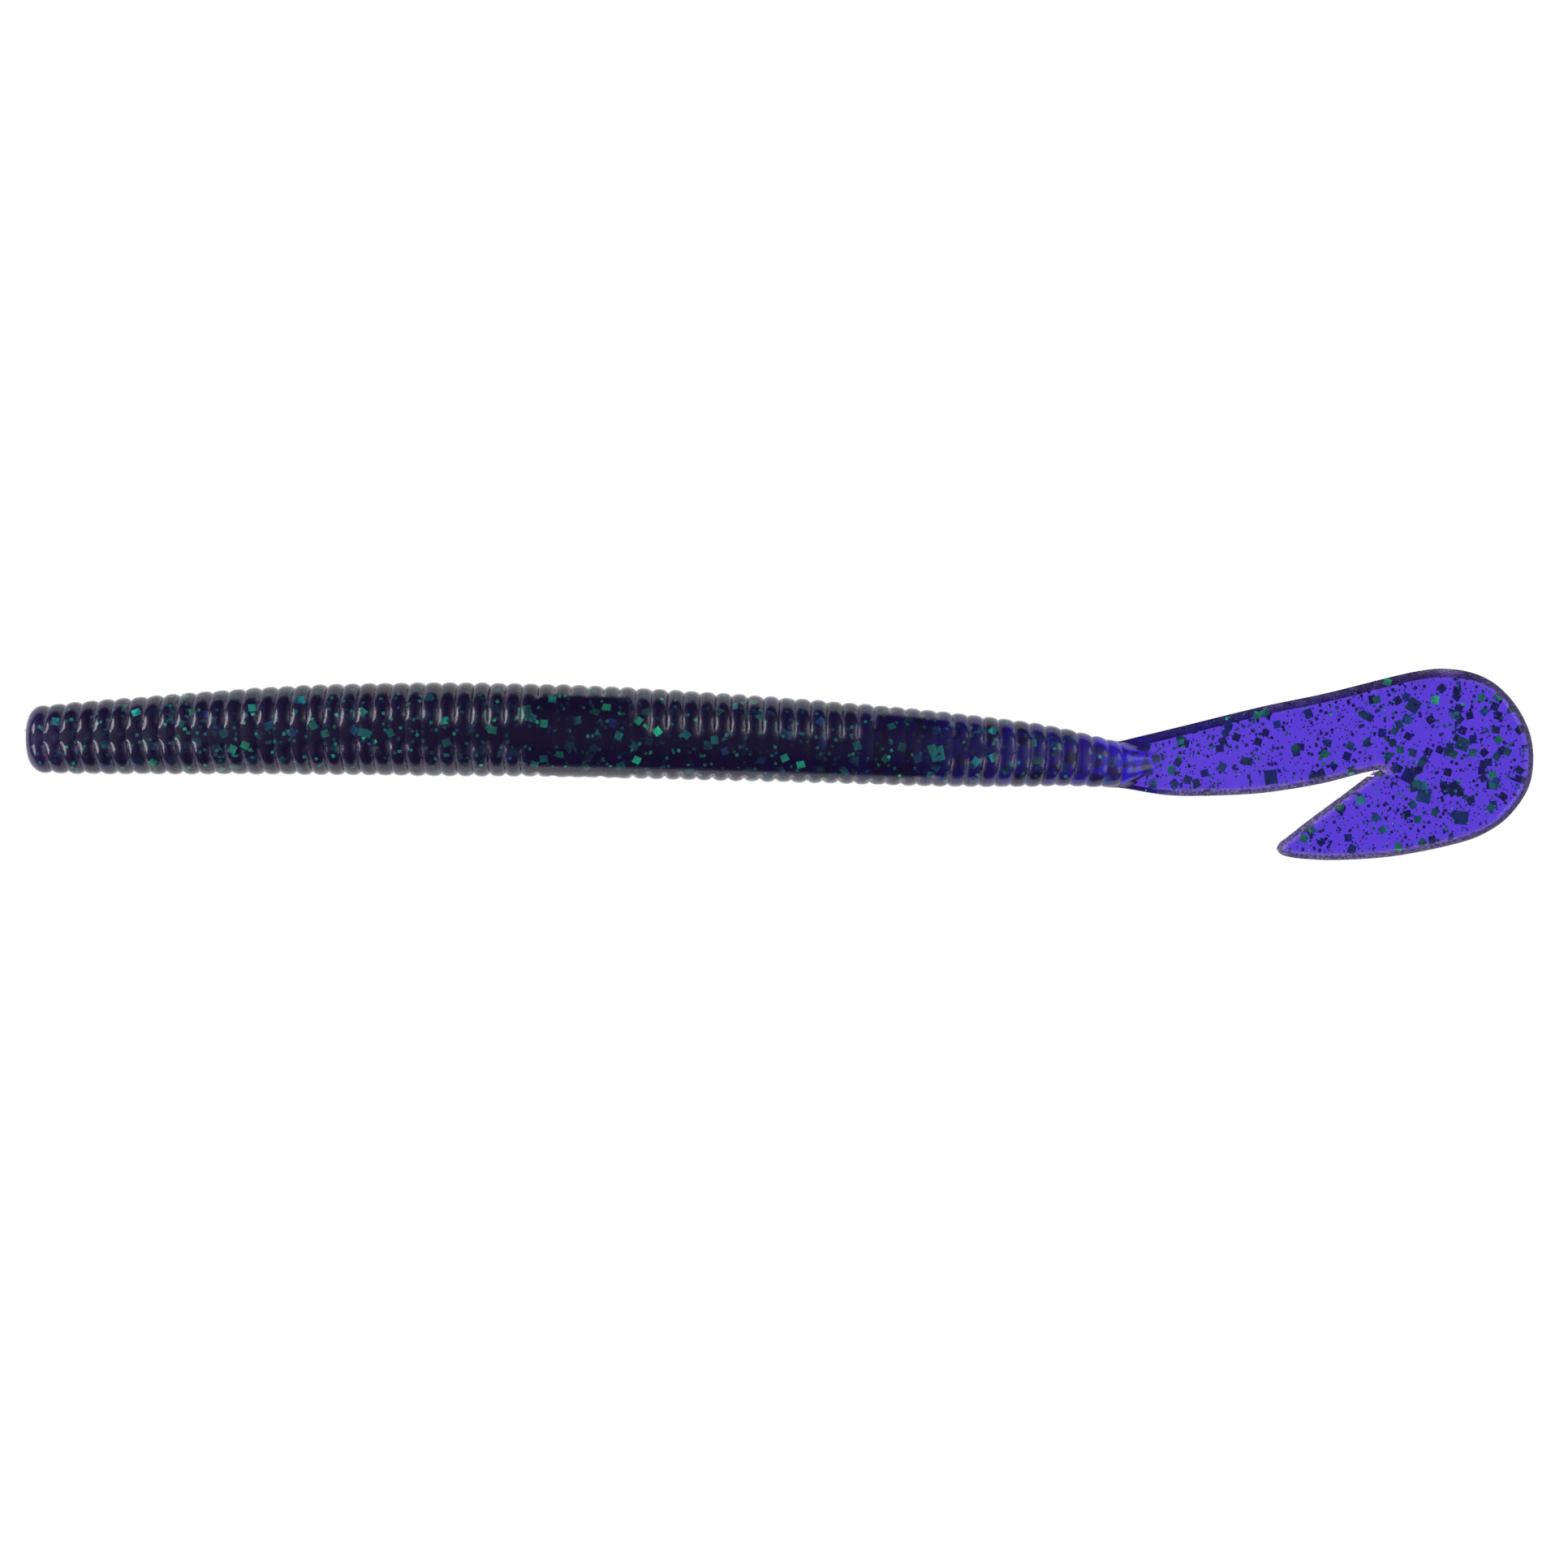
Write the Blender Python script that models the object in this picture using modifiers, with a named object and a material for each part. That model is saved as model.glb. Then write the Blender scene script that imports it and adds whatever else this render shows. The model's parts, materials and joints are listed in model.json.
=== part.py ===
"""A ribbed soft plastic fishing worm with a hook-shaped swimming tail, lying on its side.

The real worm is one soft moulding with square glitter flakes cast into it. A soft body bends
everywhere, so the moulding is divided here at its ring grooves into short rigid segments. Each
segment carries a ball at its front that turns in a socket in the back of the segment before it,
and the flat tail is divided by round-edged seams that let it flap. The flakes near the skin sit
in small open pockets.

+X runs from the nose to the tail, +Y across the flat of the tail and +Z up. The worm rests on
the plane z = 0, and the origin is at the middle of its length and width on that plane.
"""

import math

import bmesh
import bpy
from mathutils import Matrix, Vector

MM = 0.001  # every dimension below is in millimetres

# Whole worm
LENGTH = 171.5
NOSE_X = -85.66  # middle of the nose, whose leaning face reaches x = -LENGTH / 2
GAP = 0.3  # clearance between neighbouring pieces
BELLY_LIFT = 0.05  # keeps the ends of the straight segments off the floor

# Nose: a flat face with an elliptical edge
NOSE_FACE_RADIUS = 1.6
NOSE_EDGE_LENGTH = 1.85
NOSE_EDGE_POINTS = 4

# Rings: groove n is at FIRST_GROOVE_X + n * FIRST_PITCH - n * n * PITCH_SHRINK
FIRST_GROOVE_X = -83.07
FIRST_PITCH = 1.877
PITCH_SHRINK = 0.00099
LAST_GROOVE = 66
GROOVE_DEPTH = 0.35
RING_SIDE = 0.24  # the part of a ring's width that each of its rounded sides takes
RINGS_END_X = 38.4
LAST_RING_SIDE = 0.45  # the last ring has no groove after it
SIDES = 16  # flat sides around the body
FACET_SWELL = 1 / math.cos(math.pi / SIDES)  # puts the flats on the true circle

# Radius over the rings, and the sideways bow of the body's axis, at stations along X
BODY_RADIUS = (
    (-83.9, 3.85), (-79.8, 4.10), (-70.6, 4.48), (-61.4, 4.85), (-52.1, 5.13), (-38.0, 5.32),
    (-24.4, 5.25), (-10.6, 5.05), (3.3, 4.72), (17.1, 4.30), (26.4, 3.80), (31.0, 3.38),
    (35.6, 2.88), (38.4, 2.55),
)
AXIS_Y = (
    (-85.8, 2.75), (-75.2, 3.15), (-57.0, 3.80), (-43.0, 3.95), (-24.4, 3.75), (-6.0, 3.03),
    (7.9, 2.32), (21.7, 1.47), (31.0, 0.85), (38.4, 0.0),
)

# Joints between ring segments: the grooves where they bend
JOINT_GROOVES = (4, 10, 16, 22, 28, 34, 40, 46, 52, 57, 62)
ROOT_SEGMENT = 5  # the segment that the others hang from, counted from the nose
BALL_INSET = 1.1  # ball radius is this much under the groove radius
FACE_ANGLE = math.radians(9.5)  # how far each joint face leans back from the joint plane
BALL_ROWS = 5

# Tail: a flat blade that starts inside the last rings
BLADE_THICKNESS = 1.8
CONE_END_X = 42.4  # where the body's cone runs out on the blade
BLADE_START_X = 36.6
EDGE_RADIUS = BLADE_THICKNESS / 2
STEM_SEAM_X = 46.0
BLADE_SEAM_X = 56.0
END_SEAM_X = 75.0
HOOK_SEAM_X = 66.5
HOOK_TIP_SEAM_X = 61.0
ROUND_RADIUS = EDGE_RADIUS + 0.02  # a seam's round edge, which crosses both faces cleanly
HOLLOW_RADIUS = ROUND_RADIUS + GAP  # the hollow that the round edge turns in
SEAM_STEP = 22.5  # degrees between the corners of a round or hollow edge
TALL = 3.0  # half height of the seam cutters, clear of the blade
HALF_WIDE = 20.0  # half width of the seam cutters, clear of the blade

# Blade outline in three smooth runs: outer edge from the root round to the hook's tip, the
# hook's inner edge up to the notch, and the stem's lower edge back to the root
OUTER_EDGE = (
    (BLADE_START_X, 2.1), (38.0, 2.5), (45.4, 4.3), (54.6, 6.55), (62.0, 8.1), (69.4, 9.95),
    (72.6, 10.64), (75.4, 10.92), (78.6, 10.5), (81.3, 9.25), (83.6, 6.95), (85.2, 4.0),
    (85.75, 0.9), (85.3, -2.4), (83.6, -5.2), (81.3, -7.25), (77.6, -8.9), (70.2, -10.45),
    (63.6, -10.95), (59.4, -10.75), (56.9, -10.3), (56.05, -9.75), (56.3, -9.15),
)
HOOK_INNER_EDGE = ((57.2, -8.5), (60.4, -6.15), (64.2, -3.35), (67.0, -1.25), (68.1, -0.75))
STEM_LOWER_EDGE = (
    (66.3, -1.0), (61.1, -2.3), (54.6, -3.3), (48.0, -3.62), (43.5, -3.5), (38.0, -2.6),
    (BLADE_START_X, -2.2),
)
OUTLINE_STEPS = 3  # straight runs between two outline points
NOTCH = (68.3, -0.65)
SLIT_ANGLE = math.radians(25)  # direction of the slit between stem and hook

# Glitter: square metallised flakes
FLAKE = 0.9
GIANT_FLAKE = 1.6
FLAKE_THICKNESS = 0.1
FLAKE_DEPTH = 0.45  # from the groove floor, or the blade's face, down to the flake's middle
FLAKES_PER_SEGMENT = 2
FLAKE_TURN = 137.5  # degrees around the body from one flake to the next
FLAKE_FRONT_MARGIN = 2.0  # from a segment's front to its first flake
FLAKE_BACK_MARGIN = 3.4  # from its last flake to its back, past the socket
GIANT_FLAKES = {5: (2.4, 24.0), 9: (5.4, -8.0)}  # segment: (distance from its front, degrees)
GIANT_CLEARANCE = 45  # degrees around a giant flake that are kept free of others
TAIL_FLAKES = {  # blade piece: flake centres (x, y)
    "tail_stem": ((48.6, 2.2), (53.2, -1.2)),
    "tail_blade": ((60.4, 4.9), (70.2, 6.9), (71.8, -4.8)),
    "tail_end": ((78.2, 5.9), (80.6, -3.5)),
    "hook_base": ((63.8, -8.2),),
    "hook_tip": ((59.0, -9.0),),
}

# Colours: the same violet plastic looks darker where it is thicker
THICK_VIOLET = (0.018, 0.008, 0.075)
THIN_VIOLET = (0.11, 0.05, 0.62)
GLITTER_GREEN = (0.03, 0.42, 0.27)


def smooth_through(stations, x):
    """The value at x of a smooth curve through (x, value) stations."""
    last = len(stations) - 1
    x = min(max(x, stations[0][0]), stations[last][0])
    i = min(sum(s[0] <= x for s in stations) - 1, last - 1)
    slopes = []
    for k in (i, i + 1):
        a, b = stations[max(k - 1, 0)], stations[min(k + 1, last)]
        slopes.append((b[1] - a[1]) / (b[0] - a[0]))
    (x0, y0), (x1, y1) = stations[i], stations[i + 1]
    h = x1 - x0
    t = (x - x0) / h
    start = (1 + 2 * t) * (1 - t) ** 2 * y0 + t * (1 - t) ** 2 * h * slopes[0]
    end = t * t * (3 - 2 * t) * y1 - t * t * (1 - t) * h * slopes[1]
    return start + end


def smooth_outline(points, steps):
    """Points along a smooth curve through the given points, ends included."""
    out = []
    last = len(points) - 1
    for i in range(last):
        p0, p1, p2, p3 = (Vector(points[min(max(k, 0), last)]) for k in range(i - 1, i + 3))
        for n in range(steps):
            t = n / steps
            out.append(
                0.5 * (2 * p1 + (p2 - p0) * t + (2 * p0 - 5 * p1 + 4 * p2 - p3) * t * t
                       + (3 * p1 - p0 - 3 * p2 + p3) * t ** 3)
            )
    out.append(Vector(points[last]))
    return out


def groove_x(n):
    return FIRST_GROOVE_X + n * FIRST_PITCH - n * n * PITCH_SHRINK


def body_radius(x):
    return smooth_through(BODY_RADIUS, x)


def groove_radius(x):
    return body_radius(x) - GROOVE_DEPTH


def axis_point(x):
    """The body's axis at x. The belly lies along the plane z = 0."""
    return Vector((x, smooth_through(AXIS_Y, x), body_radius(x) + BELLY_LIFT))


def new_collection(name):
    collection = bpy.data.collections.new(name)
    bpy.context.scene.collection.children.link(collection)
    return collection


def plastic(name, colour):
    material = bpy.data.materials.new(name)
    material.use_nodes = True
    shader = material.node_tree.nodes["Principled BSDF"]
    shader.inputs["Base Color"].default_value = (*colour, 1)
    shader.inputs["Roughness"].default_value = 0.25
    shader.inputs["Transmission Weight"].default_value = 0.3
    return material


def metal_foil(name, colour):
    material = bpy.data.materials.new(name)
    material.use_nodes = True
    shader = material.node_tree.nodes["Principled BSDF"]
    shader.inputs["Base Color"].default_value = (*colour, 1)
    shader.inputs["Roughness"].default_value = 0.2
    shader.inputs["Metallic"].default_value = 0.9
    return material


def violet(radius):
    """The plastic's colour where the body has this radius."""
    thick = min(max((radius - BLADE_THICKNESS / 2) / 3.2, 0), 1)
    return [a + (b - a) * thick for a, b in zip(THIN_VIOLET, THICK_VIOLET)]


def move_to(ob, collection):
    for collection_now in list(ob.users_collection):
        collection_now.objects.unlink(ob)
    collection.objects.link(ob)


def as_cutter(ob, node):
    """Hides ob, which only shapes node, and draws it in node's own coordinates."""
    move_to(ob, cutters)
    ob.display_type = "WIRE"
    ob.hide_render = True
    ob.parent = node
    return ob


def cut(node, cutter, operation):
    modifier = node.modifiers.new(cutter.name, "BOOLEAN")
    modifier.operation = operation
    modifier.object = cutter
    modifier.solver = "EXACT"


def boxes(name, places, collection):
    """One object of separate cuboids. places has (matrix, size in millimetres) pairs."""
    bm = bmesh.new()
    for matrix, size in places:
        scale = Matrix.Diagonal((*(s * MM for s in size), 1))
        bmesh.ops.create_cube(bm, size=1, matrix=matrix @ scale)
    mesh = bpy.data.meshes.new(name)
    bm.to_mesh(mesh)
    bm.free()
    ob = bpy.data.objects.new(name, mesh)
    collection.objects.link(ob)
    return ob


# --- Turned body ---


def turned(name, profile):
    """A solid turned about local Z. profile has (radius, distance) pairs from nose to tail,
    and the distance runs down local -Z."""
    mesh = bpy.data.meshes.new(name)
    points = [(r * MM, 0, -s * MM) for r, s in profile]
    mesh.from_pydata(points, [(i, i + 1) for i in range(len(points) - 1)], [])
    ob = bpy.data.objects.new(name, mesh)
    parts.objects.link(ob)
    screw = ob.modifiers.new("turn", "SCREW")
    screw.steps = screw.render_steps = SIDES
    screw.use_merge_vertices = True
    screw.merge_threshold = 0.00001
    screw.use_smooth_shade = False
    return ob


def place(ob, origin, direction):
    """Turns local -Z to run along direction, with flats of the turned body above and below."""
    turn = direction.to_track_quat("-Z", "Y").to_matrix().to_4x4()
    half_side = Matrix.Rotation(math.pi / SIDES, 4, "Z")
    ob.matrix_world = Matrix.Translation(origin * MM) @ turn @ half_side


def ball_profile(radius):
    """The ball at a segment's front, from its tip to its shoulder. The joint is at distance 0."""
    angles = [i / BALL_ROWS * (math.pi / 2 + FACE_ANGLE) for i in range(BALL_ROWS + 1)]
    return [(radius * math.sin(a), -radius * math.cos(a)) for a in angles]


def socket_profile(radius):
    """The socket in a segment's back, from its mouth to its floor."""
    angles = [i / BALL_ROWS * (math.pi / 2 - FACE_ANGLE) for i in range(BALL_ROWS, -1, -1)]
    return [(radius * math.sin(a), -radius * math.cos(a)) for a in angles]


def nose_profile():
    """The nose's flat face and its elliptical edge, up to the first crest."""
    crest = body_radius(NOSE_X + NOSE_EDGE_LENGTH) * FACET_SWELL
    points = [(0, 0)]
    for i in range(NOSE_EDGE_POINTS + 1):
        a = i / NOSE_EDGE_POINTS * math.pi / 2
        r = NOSE_FACE_RADIUS + (crest - NOSE_FACE_RADIUS) * math.sin(a)
        points.append((r, NOSE_EDGE_LENGTH * (1 - math.cos(a))))
    return points


def face_setback(x):
    """How far a joint face leans back from the joint plane, at the foot of the end ring."""
    return groove_radius(x) * FACET_SWELL * math.tan(FACE_ANGLE)


def ring_profile(first, last, start, scale, front_face, back_face):
    """The skin over the rings from groove first to groove last, as (radius, distance from x =
    start). The end rings begin and stop at the joint faces where there are any."""
    out = []
    for n in range(first, last):
        x0, x1 = groove_x(n), groove_x(n + 1)
        if n == first and front_face:
            x0 += face_setback(x0)
        if n == last - 1 and back_face:
            x1 -= face_setback(x1)
        side = (x1 - x0) * RING_SIDE
        rows = [(x0, groove_radius(x0)), (x0 + side, body_radius(x0 + side)),
                (x1 - side, body_radius(x1 - side))]
        if n == last - 1:
            rows.append((x1, groove_radius(x1)))
        out += [(r * FACET_SWELL, (x - start) * scale) for x, r in rows]
    return out


def ball_radius(joint_x):
    return groove_radius(joint_x) - BALL_INSET


def ring_segment(k):
    """Segment k, counted from the nose, and its length. Its origin is on the joint that moves
    it, which is at its back on the nose's side of the root segment."""
    first, last = (JOINT_GROOVES[k - 1] if k else 0), JOINT_GROOVES[k]
    front_x = groove_x(first) if k else NOSE_X
    back_x = groove_x(last)
    front, back = axis_point(front_x), axis_point(back_x)
    length = (back - front).length
    scale = length / (back_x - front_x)
    profile = ball_profile(ball_radius(front_x)) if k else nose_profile()
    profile += ring_profile(first, last, front_x, scale, k > 0, True)
    profile += [(r, s + length) for r, s in socket_profile(ball_radius(back_x) + GAP)]
    shift = length if k < ROOT_SEGMENT else 0
    name = f"ring_segment_{k:02d}" if k else "nose"
    ob = turned(name, [(r, s - shift) for r, s in profile])
    place(ob, back if k < ROOT_SEGMENT else front, back - front)
    ob.data.materials.append(plastic(f"{name}_plastic", violet(body_radius(back_x))))
    add_body_flakes(ob, k, front_x, length, shift)
    return ob


def tail_root_body():
    """The last rings and the cone that runs out on the blade, as one turned solid."""
    first = JOINT_GROOVES[-1]
    front_x, cone_x = groove_x(first), groove_x(LAST_GROOVE)
    front, back = axis_point(front_x), axis_point(RINGS_END_X)
    length = (back - front).length
    scale = length / (RINGS_END_X - front_x)
    profile = ball_profile(ball_radius(front_x))
    profile += ring_profile(first, LAST_GROOVE, front_x, scale, True, False)
    for x in (cone_x + LAST_RING_SIDE, RINGS_END_X):
        profile.append((body_radius(x) * FACET_SWELL, (x - front_x) * scale))
    profile.append((0, (CONE_END_X - front_x) * scale))
    ob = turned("tail_root", profile)
    place(ob, front, back - front)
    add_body_flakes(ob, len(JOINT_GROOVES), front_x, length, 0)
    return ob


# --- Flat tail ---


def flat_solid(name, outline, half_height):
    """A mesh plate with the given outline in the XY plane, in millimetres."""
    curve = bpy.data.curves.new(name, "CURVE")
    curve.dimensions = "2D"
    curve.fill_mode = "BOTH"
    curve.extrude = half_height * MM
    spline = curve.splines.new("POLY")
    spline.points.add(len(outline) - 1)
    for point, (x, y) in zip(spline.points, outline):
        point.co = (x * MM, y * MM, 0, 1)
    spline.use_cyclic_u = True
    source = bpy.data.objects.new(name, curve)
    cutters.objects.link(source)
    bpy.context.view_layer.update()
    evaluated = source.evaluated_get(bpy.context.evaluated_depsgraph_get())
    mesh = bpy.data.meshes.new_from_object(evaluated)
    bpy.data.objects.remove(source)
    bm = bmesh.new()
    bm.from_mesh(mesh)
    bmesh.ops.remove_doubles(bm, verts=bm.verts, dist=0.00001)
    bmesh.ops.recalc_face_normals(bm, faces=bm.faces)
    bm.to_mesh(mesh)
    bm.free()
    return mesh


def blade_outline():
    runs = (OUTER_EDGE, HOOK_INNER_EDGE, STEM_LOWER_EDGE)
    return [p for run in runs for p in smooth_outline(run, OUTLINE_STEPS)]


def arc(x, radius, start, stop):
    """Points of an arc about (x, 0), from angle start to angle stop in degrees."""
    steps = round(abs(stop - start) / SEAM_STEP)
    angles = [math.radians(start + (stop - start) * i / steps) for i in range(steps + 1)]
    return [(x + radius * math.cos(a), radius * math.sin(a)) for a in angles]


def end_profile(x, kind):
    """One end of a cutter's side view (x, z), from below the blade to above it, at the +X end.
    A round end turns in its neighbour, a hollow end holds the neighbour's round edge, a room
    end clears the hollow, and a plain end has nothing to meet."""
    mouth = math.degrees(math.asin(EDGE_RADIUS / HOLLOW_RADIUS))
    lip = HOLLOW_RADIUS * math.cos(math.radians(mouth))
    if kind == "round":
        return [(x, -TALL), *arc(x, ROUND_RADIUS, -90, 90), (x, TALL)]
    if kind == "hollow":
        bowl = arc(x, HOLLOW_RADIUS, 180 + mouth, 180 - mouth)
        return [(x - lip, -TALL), *bowl, (x - lip, TALL)]
    if kind == "room":
        return [(x + lip, -TALL), *arc(x, HOLLOW_RADIUS, -mouth, mouth), (x + lip, TALL)]
    return [(x, -TALL), (x, TALL)]


def section(name, left, left_kind, right, right_kind):
    """A cutter that keeps the blade between two seams, drawn in the flat blade's coordinates."""
    mirrored = [(2 * left - x, z) for x, z in reversed(end_profile(left, left_kind))]
    outline = end_profile(right, right_kind) + mirrored
    mesh = flat_solid(name, outline, HALF_WIDE)
    mesh.transform(Matrix.Rotation(math.pi / 2, 4, "X"))
    return bpy.data.objects.new(name, mesh)


def hook_side(name):
    """A big box on the hook's side of the slit between stem and hook."""
    slit = Matrix.Translation((NOTCH[0] * MM, NOTCH[1] * MM, 0))
    turn = Matrix.Rotation(SLIT_ANGLE, 4, "Z")
    beside = Matrix.Translation((0, -HALF_WIDE * MM, 0))
    return boxes(name, [(slit @ turn @ beside, (4 * HALF_WIDE, 2 * HALF_WIDE, 2 * TALL))], cutters)


def shape(node, cutter, joint_x, operation):
    """Cuts a blade piece with a cutter drawn in the flat blade's coordinates."""
    cutter.data.transform(Matrix.Translation((-joint_x * MM, 0, 0)))
    cut(node, as_cutter(cutter, node), operation)


def blade_piece(name, joint_x, height, tilt, keep):
    """A piece of the blade, cut from the whole outline. Its origin is on its joint line, at
    this height above the floor, and tilt tips its tail end down."""
    mesh = flat_solid(name, blade_outline(), EDGE_RADIUS)
    mesh.transform(Matrix.Translation((-joint_x * MM, 0, 0)))
    ob = bpy.data.objects.new(name, mesh)
    parts.objects.link(ob)
    lift = Matrix.Translation((joint_x * MM, 0, height * MM))
    ob.matrix_world = lift @ Matrix.Rotation(tilt, 4, "Y")
    shape(ob, section(f"{name}_section", *keep), joint_x, "INTERSECT")
    return ob


def tail_pieces():
    """The tail's pieces by name, from the last rings to the tip of the hook."""
    rings_end, front = axis_point(RINGS_END_X), axis_point(groove_x(JOINT_GROOVES[-1]))
    slope = (rings_end.z - front.z) / (rings_end.x - front.x)
    stem_height = rings_end.z + slope * (STEM_SEAM_X - RINGS_END_X)
    stem_tilt = math.atan((stem_height - EDGE_RADIUS) / (BLADE_SEAM_X - STEM_SEAM_X))

    root = tail_root_body()
    root_plate = blade_piece("root_plate", STEM_SEAM_X, stem_height, -math.atan(slope),
                             (BLADE_START_X - 1, "plain", STEM_SEAM_X, "hollow"))
    stem = blade_piece("tail_stem", STEM_SEAM_X, stem_height, stem_tilt,
                       (STEM_SEAM_X, "round", BLADE_SEAM_X, "hollow"))
    blade = blade_piece("tail_blade", BLADE_SEAM_X, EDGE_RADIUS, 0,
                        (BLADE_SEAM_X, "round", END_SEAM_X, "hollow"))
    end = blade_piece("tail_end", END_SEAM_X, EDGE_RADIUS, 0,
                      (END_SEAM_X, "round", LENGTH, "plain"))
    hook_base = blade_piece("hook_base", HOOK_SEAM_X, EDGE_RADIUS, 0,
                            (HOOK_TIP_SEAM_X, "hollow", HOOK_SEAM_X, "round"))
    hook_tip = blade_piece("hook_tip", HOOK_TIP_SEAM_X, EDGE_RADIUS, 0,
                           (BLADE_START_X, "plain", HOOK_TIP_SEAM_X, "round"))

    keep_world = root_plate.matrix_world.copy()
    as_cutter(root_plate, root)
    root_plate.matrix_parent_inverse = root.matrix_world.inverted()
    root_plate.matrix_world = keep_world
    cut(root, root_plate, "UNION")

    shape(hook_base, hook_side("hook_base_side"), HOOK_SEAM_X, "INTERSECT")
    shape(hook_tip, hook_side("hook_tip_side"), HOOK_TIP_SEAM_X, "INTERSECT")
    room = section("hook_room", BLADE_START_X, "plain", HOOK_SEAM_X, "room")
    shape(blade, room, BLADE_SEAM_X, "DIFFERENCE")
    shape(room, hook_side("hook_room_side"), BLADE_SEAM_X, "INTERSECT")

    pieces = {ob.name: ob for ob in (root, stem, blade, end, hook_base, hook_tip)}
    for name, ob in pieces.items():
        colour = violet(body_radius(RINGS_END_X)) if ob is root else THIN_VIOLET
        ob.data.materials.append(plastic(f"{name}_plastic", colour))
    seams = {"tail_stem": STEM_SEAM_X, "tail_blade": BLADE_SEAM_X, "tail_end": END_SEAM_X,
             "hook_base": HOOK_SEAM_X, "hook_tip": HOOK_TIP_SEAM_X}
    for name, seam_x in seams.items():
        add_blade_flakes(pieces[name], seam_x, TAIL_FLAKES[name])
    return pieces


# --- Glitter ---


def add_flakes(node, places):
    """Flakes at the given (matrix, size) places, local Y out of the skin, in open pockets."""
    flakes, pockets = [], []
    for matrix, size in places:
        flakes.append((matrix, (size, FLAKE_THICKNESS, size)))
        below = FLAKE_THICKNESS / 2 + GAP
        above = FLAKE_DEPTH + GROOVE_DEPTH + GAP
        middle = Matrix.Translation((0, (above - below) / 2 * MM, 0))
        pocket = (size + 2 * GAP, above + below, size + 2 * GAP)
        pockets.append((matrix @ middle, pocket))
    cut(node, as_cutter(boxes(f"{node.name}_pockets", pockets, cutters), node), "DIFFERENCE")
    for n, flake in enumerate(flakes, 1):
        name = f"glitter_{node.name}_{n}"
        ob = boxes(name, [flake], parts)
        ob.data.materials.append(metal_foil(f"{name}_foil", GLITTER_GREEN))
        ob.parent = node


def add_body_flakes(node, k, front_x, length, shift):
    """Flakes spiralling round segment k, between its ball and its socket. shift is how far the
    segment's origin lies behind its front, which is at front_x."""
    room = length - FLAKE_FRONT_MARGIN - FLAKE_BACK_MARGIN
    spots = []
    for n in range(FLAKES_PER_SEGMENT):
        along = FLAKE_FRONT_MARGIN + room * n / (FLAKES_PER_SEGMENT - 1)
        spots.append((along, FLAKE_TURN * (n + FLAKES_PER_SEGMENT * k), FLAKE))
    if k in GIANT_FLAKES:
        along, degrees = GIANT_FLAKES[k]
        spots = [s for s in spots if abs(math.remainder(s[1] - degrees, 360)) > GIANT_CLEARANCE]
        spots.append((along, degrees, GIANT_FLAKE))
    places = []
    for along, degrees, size in spots:
        around = Matrix.Rotation(math.radians(degrees) - math.pi / SIDES, 4, "Z")
        height = groove_radius(front_x + along) - FLAKE_DEPTH
        out = Matrix.Translation((0, height * MM, (shift - along) * MM))
        spin = Matrix.Rotation(math.radians(degrees), 4, "Y")
        places.append((around @ out @ spin, size))
    add_flakes(node, places)


def add_blade_flakes(node, joint_x, spots):
    """Flakes in the blade's upper face, at (x, y) spots in the flat blade's coordinates."""
    places = []
    for x, y in spots:
        at = Matrix.Translation(((x - joint_x) * MM, y * MM, (EDGE_RADIUS - FLAKE_DEPTH) * MM))
        face_up = Matrix.Rotation(math.pi / 2, 4, "X")
        spin = Matrix.Rotation(math.radians(FLAKE_TURN * x), 4, "Y")
        places.append((at @ face_up @ spin, FLAKE))
    add_flakes(node, places)


def hang(child, parent):
    """Makes child follow parent and stay where it is."""
    world = child.matrix_world.copy()
    child.parent = parent
    child.matrix_parent_inverse = parent.matrix_world.inverted()
    child.matrix_world = world


for old in list(bpy.data.objects):
    bpy.data.objects.remove(old)
parts = new_collection("soft_plastic_worm")
cutters = new_collection("cutters")

segments = [ring_segment(k) for k in range(len(JOINT_GROOVES))]
pieces = tail_pieces()
chain = segments + [pieces[name] for name in ("tail_root", "tail_stem", "tail_blade", "tail_end")]
bpy.context.view_layer.update()
for k, segment in enumerate(chain):
    if k < ROOT_SEGMENT:
        hang(segment, chain[k + 1])
    elif k > ROOT_SEGMENT:
        hang(segment, chain[k - 1])
hang(pieces["hook_base"], pieces["tail_blade"])
hang(pieces["hook_tip"], pieces["hook_base"])
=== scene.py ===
"""The looks of a ribbed soft plastic worm: clear violet plastisol full of square glitter flakes.

The worm bends everywhere, so its skin is made in spans that each reach over one joint and meet
inside the straight stretches between the joints. Each span is a closed solid of clear plastic
that absorbs light, and the flakes lie inside it, so thick stretches are dark and the thin tail
is bright. Shapes are worked out in millimetres and scaled when a mesh is made.
"""

import json
import math

import bpy
import numpy as np
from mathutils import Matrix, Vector, geometry

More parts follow.
